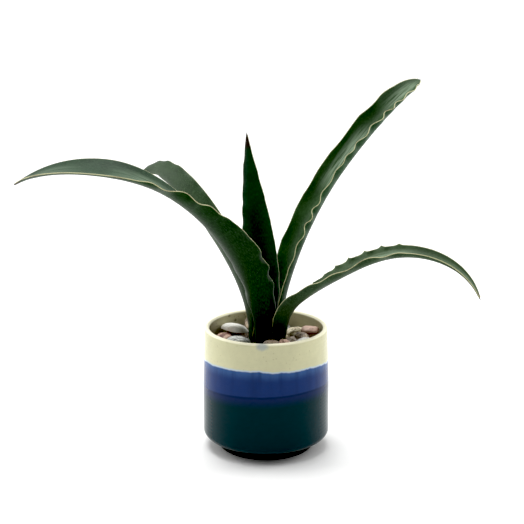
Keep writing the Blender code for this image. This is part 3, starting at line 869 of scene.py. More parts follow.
@dataclass
class Leaf:
    """A finely lofted leaf with waved margins, a horny edge with teeth, and its spine."""

    spec: LeafSpec
    foot_height: float
    rows: int = 260
    columns: int = 27
    base_thickness: float = 5.0 * MM
    tip_thickness: float = 1.8 * MM
    margin_thickness: float = 0.7 * MM
    spine_radius: float = 1.1 * MM
    spine_share: float = 0.035
    spine_point: float = 0.15
    keel_steps: int = 160
    edge_radius: float = 0.36 * MM

    def frames(self, u: np.ndarray) -> tuple[np.ndarray, np.ndarray, np.ndarray]:
        """The keel and the blade's directions.

        Args:
            u: shares of the leaf's length.

        Returns:
            Keel points, directions across the blade, and directions towards its inner face.
        """
        spec = self.spec
        fine = np.linspace(0, 1, self.keel_steps + 1)

        def angles(where: np.ndarray) -> list[np.ndarray]:
            """Heading, climb and roll in radians at each share of the keel."""
            return [
                np.radians(through(STATIONS, row, where)) for row in (spec.heading, spec.climb, spec.roll)
            ]

        heading, climb, _ = angles(fine)
        path = np.stack([np.cos(climb) * np.cos(heading), np.cos(climb) * np.sin(heading), np.sin(climb)], 1)
        steps = (path[1:] + path[:-1]) / 2 * (spec.length / self.keel_steps)
        start = math.radians(spec.heading[0])
        foot = np.array([
            spec.seat_radius * math.cos(start) + spec.seat_shift[0],
            spec.seat_radius * math.sin(start) + spec.seat_shift[1],
            self.foot_height,
        ])
        keel = np.vstack([[0.0, 0.0, 0.0], np.cumsum(steps, 0)]) + foot
        keel = np.stack([np.interp(u, fine, keel[:, axis]) for axis in range(3)], 1)
        heading, climb, roll = angles(u)
        level = np.stack([np.sin(heading), -np.cos(heading), np.zeros_like(heading)], 1)
        up = np.stack([-np.sin(climb) * np.cos(heading), -np.sin(climb) * np.sin(heading), np.cos(climb)], 1)
        c, s = np.cos(roll)[:, None], np.sin(roll)[:, None]
        return keel, c * level - s * up, c * up + s * level

    def half_widths(self, u: np.ndarray) -> np.ndarray:
        """Half the flat width at each share of the length."""
        spec = self.spec
        swell = spec.base_share + (1 - spec.base_share) * np.sin(
            np.minimum(1, u / spec.widest_at) * math.pi / 2
        )
        blade = spec.half_width * swell * np.clip(1 - u ** spec.tip_power, 0, 1)
        return np.maximum(blade, self.spine_radius * np.clip((1 - u) / self.spine_share, self.spine_point, 1))

    def waves(self, u: np.ndarray, side: float) -> tuple[np.ndarray, np.ndarray]:
        """How far a margin is bent out of the blade, and how far its points reach beyond the width."""
        margin = self.spec.margins[0 if side < 0 else 1]
        along = u * self.spec.length / margin.spacing * 2 * math.pi + margin.start
        swing = np.sin(along + 0.8 * np.sin(0.29 * along)) * (0.75 + 0.25 * np.sin(0.17 * along + side))
        share = smooth_step(u, 0.3 * margin.low, margin.low) * (
            1 - smooth_step(u, margin.high, margin.high + 0.1)
        )
        points = (1 - np.abs(np.sin(along / 2))) ** 2
        return margin.height * swing * share, margin.scallop * points * share

    def surface(self, u: np.ndarray, v: float, face: float) -> np.ndarray:
        """Points along the blade.

        Args:
            u: shares of the length.
            v: place across the blade, from -1 to 1.
            face: 1 for the inner face, -1 for the outer one, 0 for the middle.

        Returns:
            One point for each share.
        """
        keel, across, inward = self.frames(u)
        half = self.half_widths(u)
        fold = np.radians(through(np.linspace(0, 1, len(self.spec.fold)), self.spec.fold, u))
        body = self.base_thickness * (1 - u) + self.tip_thickness * u
        round_tip = 1.6 * np.minimum(half, self.spine_radius)
        body = np.maximum(body * np.clip(2 * half / self.spec.half_width, 0, 1), round_tip)
        edge = np.minimum(self.margin_thickness, 0.5 * body)
        side = math.copysign(1.0, v)
        turn = fold * abs(v)
        out = face * (edge + (body - edge) * math.sqrt(max(0.0, 1 - v * v))) / 2
        wave, point = self.waves(u, side)
        out = out + wave * abs(v) ** 5
        half = half + point * abs(v) ** 8
        x = (half * np.sin(turn) / fold - np.sin(turn) * out) * side
        y = half * (1 - np.cos(turn)) / fold + np.cos(turn) * out
        return keel + across * x[:, None] + inward * y[:, None]

    def build(self) -> bpy.types.Mesh:
        """Lofts the blade as one closed mesh that carries its masks."""
        u = np.concatenate([np.linspace(0, 0.96, self.rows), np.linspace(0.96, 1, 18)[1:]])
        v = np.sin(np.linspace(-1, 1, self.columns) * math.pi / 2)
        rings, places = [], []
        for face in Face:
            for place in v if face is Face.INNER else v[::-1]:
                rings.append(self.surface(u, float(place), face.value))
                places.append((float(place), 1.0 if face is Face.INNER else 0.0))
        points = np.stack(rings, 1)
        count = points.shape[1]
        ends = np.stack([points[0].mean(0), points[-1].mean(0)])
        faces = grid_faces(len(u), count, True)
        first_end, last_end = len(u) * count, len(u) * count + 1
        last_row = (len(u) - 1) * count
        for k in range(count):
            after = (k + 1) % count
            faces.append((first_end, after, k))
            faces.append((last_end, last_row + k, last_row + after))
        mesh = bpy.data.meshes.new(self.spec.name + "_blade")
        mesh.from_pydata(np.vstack([points.reshape(-1, 3), ends]).tolist(), [], faces)
        place = np.array(places)
        to_tip = (1 - u) * self.spec.length
        horn = 1 - smooth_step(to_tip, 0.8 * self.spec.spine, 1.15 * self.spec.spine)
        for name, values, close in (
            ("across", np.tile(place[:, 0], len(u)), (0.0, 0.0)),
            ("edge", np.tile(np.abs(place[:, 0]), len(u)), (0.0, 0.0)),
            ("inner", np.tile(place[:, 1], len(u)), (1.0, 1.0)),
            ("along", np.repeat(u * self.spec.length / self.spec.half_width, count), (0.0, 1.0)),
            ("share", np.repeat(u, count), (0.0, 1.0)),
            ("horn", np.repeat(horn, count), (0.0, 1.0)),
        ):
            store(mesh, name, np.concatenate([values, close]))
        facing_out(mesh)
        return mesh

    def margin_path(self, side: float) -> bpy.types.Mesh:
        """The line that a margin follows, with the way out of the blade stored at each point."""
        u = np.linspace(0.035, 0.985, 420)
        path = self.surface(u, side, 0.0)
        outward = path - self.surface(u, 0.96 * side, 0.0)
        outward /= np.linalg.norm(outward, axis=1)[:, None]
        mesh = bpy.data.meshes.new("margin_path")
        mesh.from_pydata(path.tolist(), [(i, i + 1) for i in range(len(path) - 1)], [])
        attribute = mesh.attributes.new("outward", "FLOAT_VECTOR", "POINT")
        attribute.data.foreach_set("vector", outward.astype(np.float32).ravel())
        return mesh

    def dress(self, blade: bpy.types.Material, horn: bpy.types.Material, tree: bpy.types.NodeTree) -> None:
        """Adds the blade and its two margins to the scene."""
        finish_piece(mesh_object(self.spec.name + "_blade", self.build(), blade), "leaf", self.spec.name)
        for word, side, margin in zip(("a", "b"), (-1.0, 1.0), self.spec.margins):
            obj = mesh_object(f"{self.spec.name}_margin_{word}", self.margin_path(side), horn)
            modifier = obj.modifiers.new("Margin", "NODES")
            modifier.node_group = tree
            set_inputs(modifier, {
                "Radius": self.edge_radius,
                "Spacing": margin.spacing,
                "Tooth": margin.tooth,
                "Seed": int(3 + 2 * side),
                "Finish": horn,
            })
            settled(obj)
            finish_piece(obj, "leaf")


def margin_tree() -> bpy.types.NodeTree:
    """Geometry Nodes: a thin horny cord along a path, with small teeth that point out of the blade."""
    graph = new_group(
        "Horny margin",
        "GeometryNodeTree",
        {
            "Geometry": ("NodeSocketGeometry", None),
            "Radius": ("NodeSocketFloat", 0.4 * MM),
            "Spacing": ("NodeSocketFloat", 15 * MM),
            "Tooth": ("NodeSocketFloat", 1.3 * MM),
            "Seed": ("NodeSocketInt", 1),
            "Finish": ("NodeSocketMaterial", None),
        },
        {"Geometry": "NodeSocketGeometry"},
    )
    inlet = graph.add("NodeGroupInput")
    line = graph.add("GeometryNodeMeshToCurve", {0: inlet.outputs["Geometry"]}).outputs[0]
    ring = graph.add("GeometryNodeCurvePrimitiveCircle", {"Resolution": 8, "Radius": inlet.outputs["Radius"]})
    cord = graph.add(
        "GeometryNodeCurveToMesh", {"Curve": line, "Profile Curve": ring.outputs[0], "Fill Caps": True}
    )
    spots = graph.add(
        "GeometryNodeResampleCurve", {"Curve": line, "Length": inlet.outputs["Spacing"]}, mode="LENGTH"
    )
    cone = graph.add("GeometryNodeMeshCone", {
        "Vertices": 8,
        "Side Segments": 3,
        "Radius Top": 0.04 * MM,
        "Radius Bottom": graph.math("MULTIPLY", inlet.outputs["Radius"], 1.5),
        "Depth": inlet.outputs["Tooth"],
    })
    outward = graph.add("GeometryNodeInputNamedAttribute", {"Name": "outward"}, data_type="FLOAT_VECTOR")
    turn = graph.add("FunctionNodeAlignRotationToVector", {"Vector": outward.outputs[0]}, axis="Z")
    size = graph.add(
        "FunctionNodeRandomValue", {2: 0.35, 3: 1.15, "Seed": inlet.outputs["Seed"]}, data_type="FLOAT"
    )
    teeth = graph.add("GeometryNodeInstanceOnPoints", {
        "Points": spots.outputs[0],
        "Instance": cone.outputs["Mesh"],
        "Rotation": turn.outputs[0],
        "Scale": size.outputs[1],
    })
    real = graph.add("GeometryNodeRealizeInstances", {0: teeth.outputs[0]})
    both = graph.add("GeometryNodeJoinGeometry")
    graph.tree.links.new(real.outputs[0], both.inputs[0])
    graph.tree.links.new(cord.outputs[0], both.inputs[0])
    solid = graph.add("GeometryNodeRealizeInstances", {0: both.outputs[0]})
    dressed = graph.add(
        "GeometryNodeSetMaterial", {"Geometry": solid.outputs[0], "Material": inlet.outputs["Finish"]}
    )
    outlet = graph.add("NodeGroupOutput")
    graph.tree.links.new(dressed.outputs[0], outlet.inputs[0])
    return graph.tree


# Shells


@dataclass(frozen=True)
class Seat:
    """Where a piece of the dressing lies: its own frame, read from its CAD node."""

    centre: Vector
    turn: Matrix
    width: float
    own: float  # a number that differs from piece to piece

    def place(self, points: np.ndarray) -> np.ndarray:
        """Moves points from the piece's own frame to where it lies."""
        return points @ np.array(self.turn).T + np.array(self.centre)


def node_points(name: str) -> np.ndarray:
    """The points of a CAD node."""
    mesh = frame["nodes"][name].data
    points = np.empty(len(mesh.vertices) * 3)
    mesh.vertices.foreach_get("co", points)
    return np.unique(points.reshape(-1, 3).round(7), axis=0)


def widest_flat(points: np.ndarray) -> tuple[Vector, np.ndarray]:
    """The largest flat side of the points' hull.

    Args:
        points: the points of a solid.

    Returns:
        The way that the flat faces, and the points on it.
    """
    made = bmesh.new()
    for point in points:
        made.verts.new(point)
    bmesh.ops.convex_hull(made, input=made.verts)
    made.faces.ensure_lookup_table()
    best, most = Vector((0, 0, -1)), 0.0
    for face in made.faces:
        area = sum(other.calc_area() for other in made.faces if other.normal.dot(face.normal) > 0.9995)
        if area > most:
            best, most = face.normal.copy(), area
    made.free()
    heights = points @ np.array(best)
    return best, points[heights > heights.max() - 0.15 * MM]


def valve_seat(name: str) -> Seat:
    """Seat of a valve: +Z out of its dome and +Y towards its hinge."""
    points = node_points(name)
    down, rim = widest_flat(points)
    up = -down
    top = points[np.argmax(points @ np.array(up))]
    lean = Vector(top - rim.mean(0))
    y_axis = (lean - up * lean.dot(up)).normalized()
    x_axis = y_axis.cross(up)
    turn = Matrix((x_axis, y_axis, up)).transposed()
    local = rim @ np.array(turn)
    low, high = local.min(0), local.max(0)
    centre = turn @ Vector((low + high) / 2)
    return Seat(centre, turn, float(high[0] - low[0]), draw_own(name))


def coil_seat(name: str) -> Seat:
    """Seat of a coiled shell: +Z towards its point, with its mouth to the side."""
    points = node_points(name)
    middle = (points.min(0) + points.max(0)) / 2
    axis = np.linalg.svd(points - points.mean(0), full_matrices=False)[2][0]
    along = (points - middle) @ axis
    spread = np.linalg.norm(points - middle - along[:, None] * axis, axis=1)
    if spread[along > 0].mean() > spread[along < 0].mean():
        axis, along = -axis, -along
    z_axis = Vector(axis)
    x_axis = z_axis.cross(Vector((0, 0, 1))).normalized()
    turn = Matrix((x_axis, z_axis.cross(x_axis), z_axis)).transposed()
    width = float(along.max() - along.min()) / 1.06
    centre = Vector(middle) + z_axis * float(along.min() + 0.5 * width)
    return Seat(centre, turn, width, draw_own(name))


def draw_own(name: str) -> float:
    """A number from 0 to 1 that belongs to the piece of this name."""
    return random.Random(name).random()


@dataclass(frozen=True)
class Valve:
    """Form of one valve, as shares of its width."""

    length: float
    height: float
    umbo: float
    ribs: int
    rib_height: float
    line_height: float = 0.3 * MM
    crown: float = 1.05  # above 1 the flanks are straighter and the top is sharper
    wall: float = 1.3 * MM
    segments: int = 108
    rings: int = 30

    def build(self, name: str, seat: Seat) -> bpy.types.Mesh:
        """The outer face of the valve, as an open dome with its ribs and growth lines."""
        t = np.linspace(0, 1, self.rings)[1:, None]
        theta = np.linspace(0, 2 * math.pi, self.segments, endpoint=False)[None, :]
        out, up = np.sin(t * math.pi / 2), np.cos(t * math.pi / 2)
        x, y, z = out * np.cos(theta), out * np.sin(theta), up + 0 * theta
        narrow = 1 - 0.28 * np.maximum(0.0, y) ** 2
        width = seat.width
        fan = np.arctan2(x, 1.12 - y)
        growth = np.hypot(x, 1.12 - y) / 2.1
        ribs = np.abs(np.sin(self.ribs * fan)) * smooth_step(growth, 0.02, 0.4)
        lines = np.sin(44 * growth + 5 * seat.own + 1.5 * np.sin(11 * growth))
        lift = self.rib_height * ribs + self.line_height * lines * smooth_step(t, 0.1, 0.4)
        scallop = 1 + (self.rib_height * ribs - 0.5 * self.rib_height) / width * 2 * smooth_step(t, 0.7, 1.0)
        points = np.stack([
            x * narrow * width / 2 * scallop,
            (y + self.umbo * z * z) * self.length * width / 2 * scallop,
            np.maximum(z, 0.0) ** self.crown * self.height * width + lift * (0.25 + 0.75 * z),
        ], -1)
        top = np.array([[0.0, self.umbo * self.length * width / 2, self.height * width]])
        faces = grid_faces(self.rings - 1, self.segments, True)
        pole = points.shape[0] * self.segments
        faces = [face[::-1] for face in faces]
        faces += [(pole, k, (k + 1) % self.segments) for k in range(self.segments)]
        faces = [face[::-1] for face in faces]
        mesh = bpy.data.meshes.new(name)
        mesh.from_pydata(seat.place(np.vstack([points.reshape(-1, 3), top])).tolist(), [], faces)
        store(mesh, "growth", np.append(growth.ravel(), growth[0].mean()))
        store(mesh, "ray", np.append(fan.ravel() * 2, 0.0))
        store(mesh, "own", np.full(pole + 1, seat.own))
        outwards(mesh, Vector(seat.turn.col[2]))
        return mesh

    def dress(self, name: str, slot: str, material: bpy.types.Material) -> None:
        """Adds one valve to the scene, with its wall."""
        seat = valve_seat(name)
        obj = mesh_object(name + "_valve", self.build(name, seat), material)
        wall = obj.modifiers.new("Wall", "SOLIDIFY")
        wall.thickness = self.wall
        wall.offset = -1.0
        settled(obj)
        finish_piece(obj, slot, name)


def outwards(mesh: bpy.types.Mesh, up: Vector) -> None:
    """Turns an open dome's faces to the side that its top looks to."""
    made = bmesh.new()
    made.from_mesh(mesh)
    if sum(face.normal.dot(up) * face.calc_area() for face in made.faces) < 0:
        bmesh.ops.reverse_faces(made, faces=made.faces)
    made.to_mesh(mesh)
    made.free()


@dataclass(frozen=True)
class Coil:
    """Form of a small coiled shell: a tube that winds outwards and down from its point."""

    turns: float = 4.2
    widening: float = 1.72  # of the tube for each turn
    tube: float = 0.25  # last tube's radius, as a share of the shell's width
    reach: float = 0.4  # from the axis to the widest point of the last whorl
    drop: float = 0.7  # from the first whorl to the last, as a share of the width
    steps: int = 132
    sides: int = 20

    def build(self, name: str, seat: Seat) -> bpy.types.Mesh:
        """Winds the tube into a closed mesh."""
        turn = np.linspace(0, 2 * math.pi * self.turns, self.steps)
        size = self.widening ** ((turn - turn[-1]) / (2 * math.pi))
        side = np.linspace(0, 2 * math.pi, self.sides, endpoint=False)
        width = seat.width
        tube = self.tube * width * size
        path_radius = (self.reach - self.tube) * width * size
        path_height = (0.5 - self.drop * (size - size[0])) * width
        ridge = 1 + 0.025 * np.sin(9 * turn)[:, None] + 0.04 * np.cos(5 * side)[None, :]
        radius = path_radius[:, None] + tube[:, None] * np.cos(side)[None, :] * ridge
        height = path_height[:, None] + tube[:, None] * np.sin(side)[None, :] * ridge * 1.05
        points = np.stack([radius * np.cos(turn)[:, None], radius * np.sin(turn)[:, None], height], -1)
        ends = np.stack([points[0].mean(0), points[-1].mean(0)])
        faces = grid_faces(self.steps, self.sides, True)
        first, last = self.steps * self.sides, self.steps * self.sides + 1
        row = (self.steps - 1) * self.sides
        for k in range(self.sides):
            after = (k + 1) % self.sides
            faces.append((first, after, k))
            faces.append((last, row + k, row + after))
        mesh = bpy.data.meshes.new(name)
        mesh.from_pydata(seat.place(np.vstack([points.reshape(-1, 3), ends])).tolist(), [], faces)
        store(mesh, "growth", np.append(np.repeat(turn / 9, self.sides), (0.0, 3.0)))
        store(mesh, "ray", np.append(np.tile(np.cos(side), self.steps), (0.0, 0.0)))
        store(mesh, "own", np.full(last + 1, seat.own))
        facing_out(mesh)
        return mesh

    def dress(self, name: str, slot: str, material: bpy.types.Material) -> None:
        """Adds one coiled shell to the scene."""
        obj = mesh_object(name + "_coil", self.build(name, coil_seat(name)), material)
        finish_piece(obj, slot, name)


@dataclass(frozen=True)
class Pebble:
    """A sea-worn pebble, rounded from its CAD solid."""

    cuts: int = 3
    pits: float = 0.35 * MM

    def build(self, name: str) -> bpy.types.Mesh:
        """Rounds a copy of the CAD solid and roughens it a little."""
        made = bmesh.new()
        made.from_mesh(frame["nodes"][name].data)
        bmesh.ops.remove_doubles(made, verts=made.verts, dist=1e-5)
        bmesh.ops.subdivide_edges(made, edges=made.edges, cuts=self.cuts, use_grid_fill=True, smooth=1.0)
        own = draw_own(name)
        for _ in range(2):
            bmesh.ops.smooth_vert(
                made, verts=made.verts, factor=0.5, use_axis_x=True, use_axis_y=True, use_axis_z=True
            )
        for vert in made.verts:
            vert.co += vert.normal * self.pits * noise.noise(vert.co * 320 + Vector((own, own, own)) * 9)
        mesh = bpy.data.meshes.new(name)
        made.to_mesh(mesh)
        layers = [vert.co.z * 110 + 0.4 * noise.noise(vert.co * 150) for vert in made.verts]
        made.free()
        store(mesh, "growth", layers)
        store(mesh, "own", np.full(len(layers), own))
        facing_out(mesh)
        return mesh

    def dress(self, name: str, slot: str, material: bpy.types.Material) -> None:
        """Adds one pebble to the scene."""
        finish_piece(mesh_object(name + "_stone", self.build(name), material), slot, name)


@dataclass
class Dressing:
    """All the shells and pebbles on the soil."""

    clam: Valve = Valve(length=0.8, height=0.27, umbo=0.52, ribs=9, rib_height=0.25 * MM)
    cockle: Valve = Valve(length=0.94, height=0.36, umbo=0.5, ribs=11, rib_height=1.2 * MM)
    coil: Coil = Coil()
    pebble: Pebble = Pebble()

    def dress(self, materials: dict[str, bpy.types.Material]) -> None:
        """Dresses every node of the bed in its slot's finish."""
        forms = {"clam": self.clam, "cockle": self.cockle, "snail": self.coil, "pebble": self.pebble}
        for row in frame["record"]["subparts"]:
            form = forms.get(row["node"].split("_")[0])
            if form is not None:
                form.dress(row["node"], row["material_slot"], materials[row["material_slot"]])


@dataclass
class Chips:
    """Broken bits of shell that fill the gaps between the whole ones."""

    inner: float = 27.0 * MM
    outer: float = 51.5 * MM
    sink: float = 1.5 * MM  # how far below its surroundings a gap lies
    reach: float = 10.0 * MM  # how far around the bed's level is read
    chip: float = 6.0 * MM
    density: float = 60000.0
    sides: int = 10

    def chip_mesh(self) -> bpy.types.Mesh:
        """One cupped bit of a shell, a unit wide and closed below."""
        rows = []
        for out, up in ((0.35, 0.3), (0.72, 0.2), (1.0, 0.02), (0.9, -0.06), (0.4, 0.1)):
            turns = np.linspace(0, 2 * math.pi, self.sides, endpoint=False)
            ragged = 1 + 0.16 * np.sin(3 * turns + 0.7) + 0.1 * np.sin(5 * turns)
            row = (
                0.5 * out * ragged * np.cos(turns),
                0.38 * out * ragged * np.sin(turns) + 0.1 * up,
                up + 0 * turns
            )
            rows.append(np.stack(row, 1))
        ends = np.array([[0.0, 0.04, 0.34], [0.0, 0.0, 0.15]])
        faces = grid_faces(len(rows), self.sides, True)
        top, low = len(rows) * self.sides, len(rows) * self.sides + 1
        last = (len(rows) - 1) * self.sides
        for k in range(self.sides):
            after = (k + 1) % self.sides
            faces.append((top, after, k))
            faces.append((low, last + k, last + after))
        mesh = bpy.data.meshes.new("chip")
        mesh.from_pydata(np.vstack([*rows, ends]).tolist(), [], faces)
        rings = [radius for radius in (0.35, 0.72, 1.0, 0.9, 0.4) for _ in range(self.sides)]
        store(mesh, "growth", [*rings, 0.0, 0.3])
        facing_out(mesh)
        return mesh

    def levels(self, places: np.ndarray) -> np.ndarray:
        """Height of the bed at each place: the highest solid under it."""
        names = [row["node"] for row in frame["record"]["subparts"]]
        solids = [name for name in names if not name.startswith(("leaf", "pot", "root"))]
        points, faces = [], []
        for name in solids:
            mesh = frame["nodes"][name].data
            start = len(points)
            points += [vert.co[:] for vert in mesh.vertices]
            faces += [tuple(start + i for i in face.vertices) for face in mesh.polygons]
        tree = BVHTree.FromPolygons(points, faces)
        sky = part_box("pot")[1][2] + 0.05
        hits = [tree.ray_cast(Vector((x, y, sky)), Vector((0, 0, -1)))[0] for x, y in places.tolist()]
        return np.array([hit.z for hit in hits])

    def bed(self) -> bpy.types.Mesh:
        """The gaps between the shells, as the open faces that the chips lie on."""
        turns = np.linspace(0, 2 * math.pi, 180, endpoint=False)
        radii = np.linspace(self.inner, self.outer, 18)
        grid = np.stack(np.meshgrid(radii, turns, indexing="ij"), -1).reshape(-1, 2)
        places = np.stack([grid[:, 0] * np.cos(grid[:, 1]), grid[:, 0] * np.sin(grid[:, 1])], 1)
        levels = self.levels(places)
        apart = np.linalg.norm(places[:, None] - places[None], axis=2)
        near = np.exp(-((apart / self.reach) ** 2) * 2)
        lows = levels < (near @ levels) / near.sum(1) - self.sink
        mesh = bpy.data.meshes.new("chip_bed")
        points = np.column_stack([places, levels + 0.5 * self.sink])
        faces = grid_faces(len(radii), len(turns), True)
        mesh.from_pydata(points.tolist(), [], [face for face in faces if all(lows[i] for i in face)])
        outwards(mesh, Vector((0, 0, 1)))
        return mesh

    def dress(self, materials: dict[str, bpy.types.Material]) -> None:
        """Strews the chips in each shade."""
        bed = self.bed()
        chip = bpy.data.objects.new("chip", self.chip_mesh())
        tree = strewing_tree("Strewn chips")
        for seed, (slot, material) in enumerate(materials.items()):
            obj = mesh_object(slot + "_chips", bed.copy(), material)
            modifier = obj.modifiers.new("Chips", "NODES")
            modifier.node_group = tree
            set_inputs(modifier, {
                "Piece": chip,
                "Size": self.chip,
                "Density": self.density / len(materials),
                "Tilt": 0.7,
                "Seed": seed,
                "Finish": material,
            })
            settled(obj)
            store(obj.data, "own", np.full(len(obj.data.vertices), 0.2 * seed))
            finish_piece(obj, slot)
        bpy.data.objects.remove(chip)


# Soil


@dataclass
class Soil:
    """The soil's own solid, with loose grains strewn on its top."""

    inner: float
    outer: float
    top: float
    grain: float = 1.5 * MM
    density: float = 260000.0

    @classmethod
    def from_frame(cls) -> "Soil":
        """Takes the top and the outside from the packed soil, and the inside from the root crown."""
        low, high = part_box("soil")
        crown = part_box("root_crown")[1][0]
        return cls(inner=crown, outer=(high[0] - low[0]) / 2 - 2 * MM, top=high[2])

    def bed(self, material: bpy.types.Material) -> bpy.types.Object:
        """The ring of ground that the grains lie on."""
        turns = np.linspace(0, 2 * math.pi, 64, endpoint=False)
        rows = []
        for radius, height in ((self.inner, self.top), (self.outer, self.top - 0.8 * MM)):
            rows.append(np.stack([radius * np.cos(turns), radius * np.sin(turns), height + 0 * turns], 1))
        mesh = bpy.data.meshes.new("soil_grains")
        mesh.from_pydata(np.vstack(rows).tolist(), [], grid_faces(2, 64, True))
        return mesh_object("soil_grains", mesh, material)

    def dress(self, material: bpy.types.Material) -> None:
        """Gives the CAD soil its finish and strews the grains."""
        frame["nodes"]["soil"].material_slots[0].material = material
        obj = self.bed(material)
        made = bmesh.new()
        bmesh.ops.create_icosphere(made, subdivisions=1, radius=0.5)
        grain = bpy.data.objects.new("grain", bpy.data.meshes.new("grain"))
        made.to_mesh(grain.data)
        made.free()
        modifier = obj.modifiers.new("Grains", "NODES")
        modifier.node_group = strewing_tree("Strewn grains")
        set_inputs(modifier, {
            "Piece": grain,
            "Size": self.grain,
            "Density": self.density,
            "Seed": 4,
            "Finish": material,
        })
        settled(obj)
        bpy.data.objects.remove(grain)
        finish_piece(obj, "soil")


def strewing_tree(name: str) -> bpy.types.NodeTree:
    """Geometry Nodes: one piece strewn over a surface in many sizes and turns.

    Args:
        name: the tree's name.

    Returns:
        The tree.
    """
    graph = new_group(
        name,
        "GeometryNodeTree",
        {
            "Geometry": ("NodeSocketGeometry", None),
            "Piece": ("NodeSocketObject", None),
            "Size": ("NodeSocketFloat", 1.5 * MM),
            "Density": ("NodeSocketFloat", 100000.0),
            "Tilt": ("NodeSocketFloat", 3.14),
            "Seed": ("NodeSocketInt", 1),
            "Finish": ("NodeSocketMaterial", None),
        },
        {"Geometry": "NodeSocketGeometry"},
    )
    inlet = graph.add("NodeGroupInput")
    seed = inlet.outputs["Seed"]
    spots = graph.add("GeometryNodeDistributePointsOnFaces", {
        "Mesh": inlet.outputs["Geometry"],
        "Density": inlet.outputs["Density"],
        "Seed": seed,
    })
    piece = graph.add("GeometryNodeObjectInfo", {"Object": inlet.outputs["Piece"]})
    back = graph.math("MULTIPLY", inlet.outputs["Tilt"], -1.0)
    low_turn = graph.add("ShaderNodeCombineXYZ", {0: back, 1: back, 2: 0.0}).outputs[0]
    high_turn = graph.add(
        "ShaderNodeCombineXYZ", {0: inlet.outputs["Tilt"], 1: inlet.outputs["Tilt"], 2: 6.28}
    )
    turn = graph.add("FunctionNodeRandomValue", {0: low_turn, 1: high_turn.outputs[0], "Seed": seed},
                     data_type="FLOAT_VECTOR")
    share = graph.add("FunctionNodeRandomValue", {0: (0.5, 0.5, 0.4), 1: (1.3, 1.2, 1.0), "Seed": seed},
                      data_type="FLOAT_VECTOR")
    size = graph.add(
        "ShaderNodeVectorMath", {0: share.outputs[0], "Scale": inlet.outputs["Size"]}, operation="SCALE"
    )
    pieces = graph.add("GeometryNodeInstanceOnPoints", {
        "Points": spots.outputs["Points"],
        "Instance": piece.outputs["Geometry"],
        "Rotation": turn.outputs[0],
        "Scale": size.outputs[0],
    })
    real = graph.add("GeometryNodeRealizeInstances", {0: pieces.outputs[0]})
    dressed = graph.add(
        "GeometryNodeSetMaterial", {"Geometry": real.outputs[0], "Material": inlet.outputs["Finish"]}
    )
    outlet = graph.add("NodeGroupOutput")
    graph.tree.links.new(dressed.outputs[0], outlet.inputs[0])
    return graph.tree


# Studio


class LightKind(Enum):
    """Blender's names for the two kinds of light used."""

    BOX = "AREA"
    SKY = "SUN"


@dataclass(frozen=True)
class Light:
    """One soft light that looks at a point on the plant."""

    name: str
    kind: LightKind
    place: tuple[float, float, float]
    size: float  # side in metres of a box, or spread in radians of a sky light
    power: float


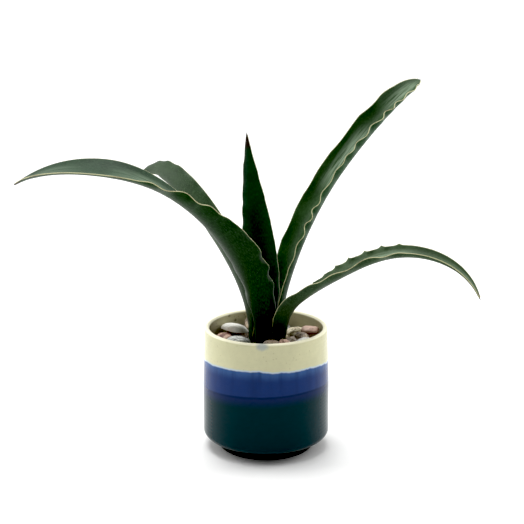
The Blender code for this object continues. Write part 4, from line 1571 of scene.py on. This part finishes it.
@dataclass
class Studio:
    """White floor, soft light and the camera."""

    camera_place: tuple[float, float, float] = (-3.88 * MM, -1265.8 * MM, 515.7 * MM)
    camera_pitch: float = 14.83 * DEG
    lens: float = 96.18
    floor_size: float = 24.0
    black_level: float = 0.018
    target: tuple[float, float, float] = (0.0, 0.0, 0.15)
    lights: tuple[Light, ...] = (
        Light("over", LightKind.SKY, (-0.15, 0.45, 1.6), 40 * DEG, 2.2),
        Light("front", LightKind.BOX, (-0.3, -0.3, 1.35), 0.5, 2.6),
        Light("left", LightKind.BOX, (-1.9, 0.5, 1.0), 1.4, 18.0),
        Light("right", LightKind.BOX, (1.9, 0.6, 1.0), 1.4, 18.0),
    )

    def build(self) -> None:
        """Builds the whole studio."""
        self.floor()
        self.camera()
        self.world()
        for light in self.lights:
            self.light(light)
        view = bpy.context.scene.view_settings
        view.view_transform = "Standard"
        view.look = "None"
        view.use_curve_mapping = True
        view.curve_mapping.black_level = (self.black_level,) * 3

    def floor(self) -> None:
        """A matt white floor."""
        half = self.floor_size / 2
        mesh = bpy.data.meshes.new("floor")
        corners = [(-half, -half, 0.0), (half, -half, 0.0), (half, half, 0.0), (-half, half, 0.0)]
        mesh.from_pydata(corners, [], [(0, 1, 2, 3)])
        material, _, shader = new_material("floor_white")
        shader.inputs["Base Color"].default_value = (0.94, 0.94, 0.935, 1.0)
        shader.inputs["Roughness"].default_value = 0.7
        shader.inputs["Specular IOR Level"].default_value = 0.2
        mesh_object("floor", mesh, material)

    def camera(self) -> None:
        """The camera, level and pitched down."""
        data = bpy.data.cameras.new("camera")
        data.lens = self.lens
        data.sensor_width = 36.0
        data.clip_end = 50.0
        obj = bpy.data.objects.new("camera", data)
        obj.location = self.camera_place
        obj.rotation_euler = (math.pi / 2 - self.camera_pitch, 0.0, 0.0)
        bpy.context.scene.collection.objects.link(obj)
        bpy.context.scene.camera = obj

    def light(self, light: Light) -> None:
        """Hangs one light."""
        data = bpy.data.lights.new(light.name, light.kind.value)
        if light.kind is LightKind.BOX:
            data.size = light.size
        else:
            data.angle = light.size
        data.energy = light.power
        obj = bpy.data.objects.new(light.name, data)
        obj.location = light.place
        obj.rotation_euler = (Vector(self.target) - obj.location).to_track_quat("-Z", "Y").to_euler()
        bpy.context.scene.collection.objects.link(obj)

    def world(self) -> None:
        """White all round to look at; as light, bright behind and above and darker in front."""
        world = bpy.data.worlds.new("room")
        bpy.context.scene.world = world
        world.use_nodes = True
        graph = Graph(world.node_tree)
        background = world.node_tree.nodes["Background"]
        ray = graph.add("ShaderNodeTexCoord").outputs["Generated"]
        parts = graph.add("ShaderNodeSeparateXYZ", {0: ray}).outputs
        behind = graph.span(parts[1], -0.55, 0.35)
        over = graph.span(parts[2], 0.35, 0.95)
        share = graph.math("MAXIMUM", behind, graph.math("MULTIPLY", over, 0.6))
        colour = graph.mix(share, (0.05, 0.052, 0.055), (1.0, 1.0, 1.0))
        seen = graph.add("ShaderNodeLightPath").outputs["Is Camera Ray"]
        world.node_tree.links.new(graph.mix(seen, colour, (1.1, 1.1, 1.1)), background.inputs["Color"])
        background.inputs["Strength"].default_value = 0.95


def main() -> None:
    """Builds the plant piece by piece, then the studio."""
    logging.basicConfig(level=logging.INFO, format="%(message)s")
    effects = Effects()
    Pot.from_frame().dress(GLAZE.build(effects))
    foot_height = min(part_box(spec.name)[0][2] for spec in LEAVES)
    horn = HORN.build(effects)
    margins = margin_tree()
    blades = {finish.name: finish.build(effects) for finish in (SHADED, PAINTED_DEEP_SHADE, PAINTED_LIT, PAINTED_HIGHLIGHT)}
    for spec in LEAVES:
        Leaf(spec, foot_height).dress(blades[spec.finish.name], horn, margins)
    shades = {finish.name: finish.build(effects) for finish in SHELLS}
    Dressing().dress(shades)
    Chips().dress(shades)
    Soil.from_frame().dress(SOIL.build(effects))
    frame["nodes"]["root_crown"].material_slots[0].material = CROWN.build(effects)
    Studio().build()


if __name__ == "__main__":
    main()
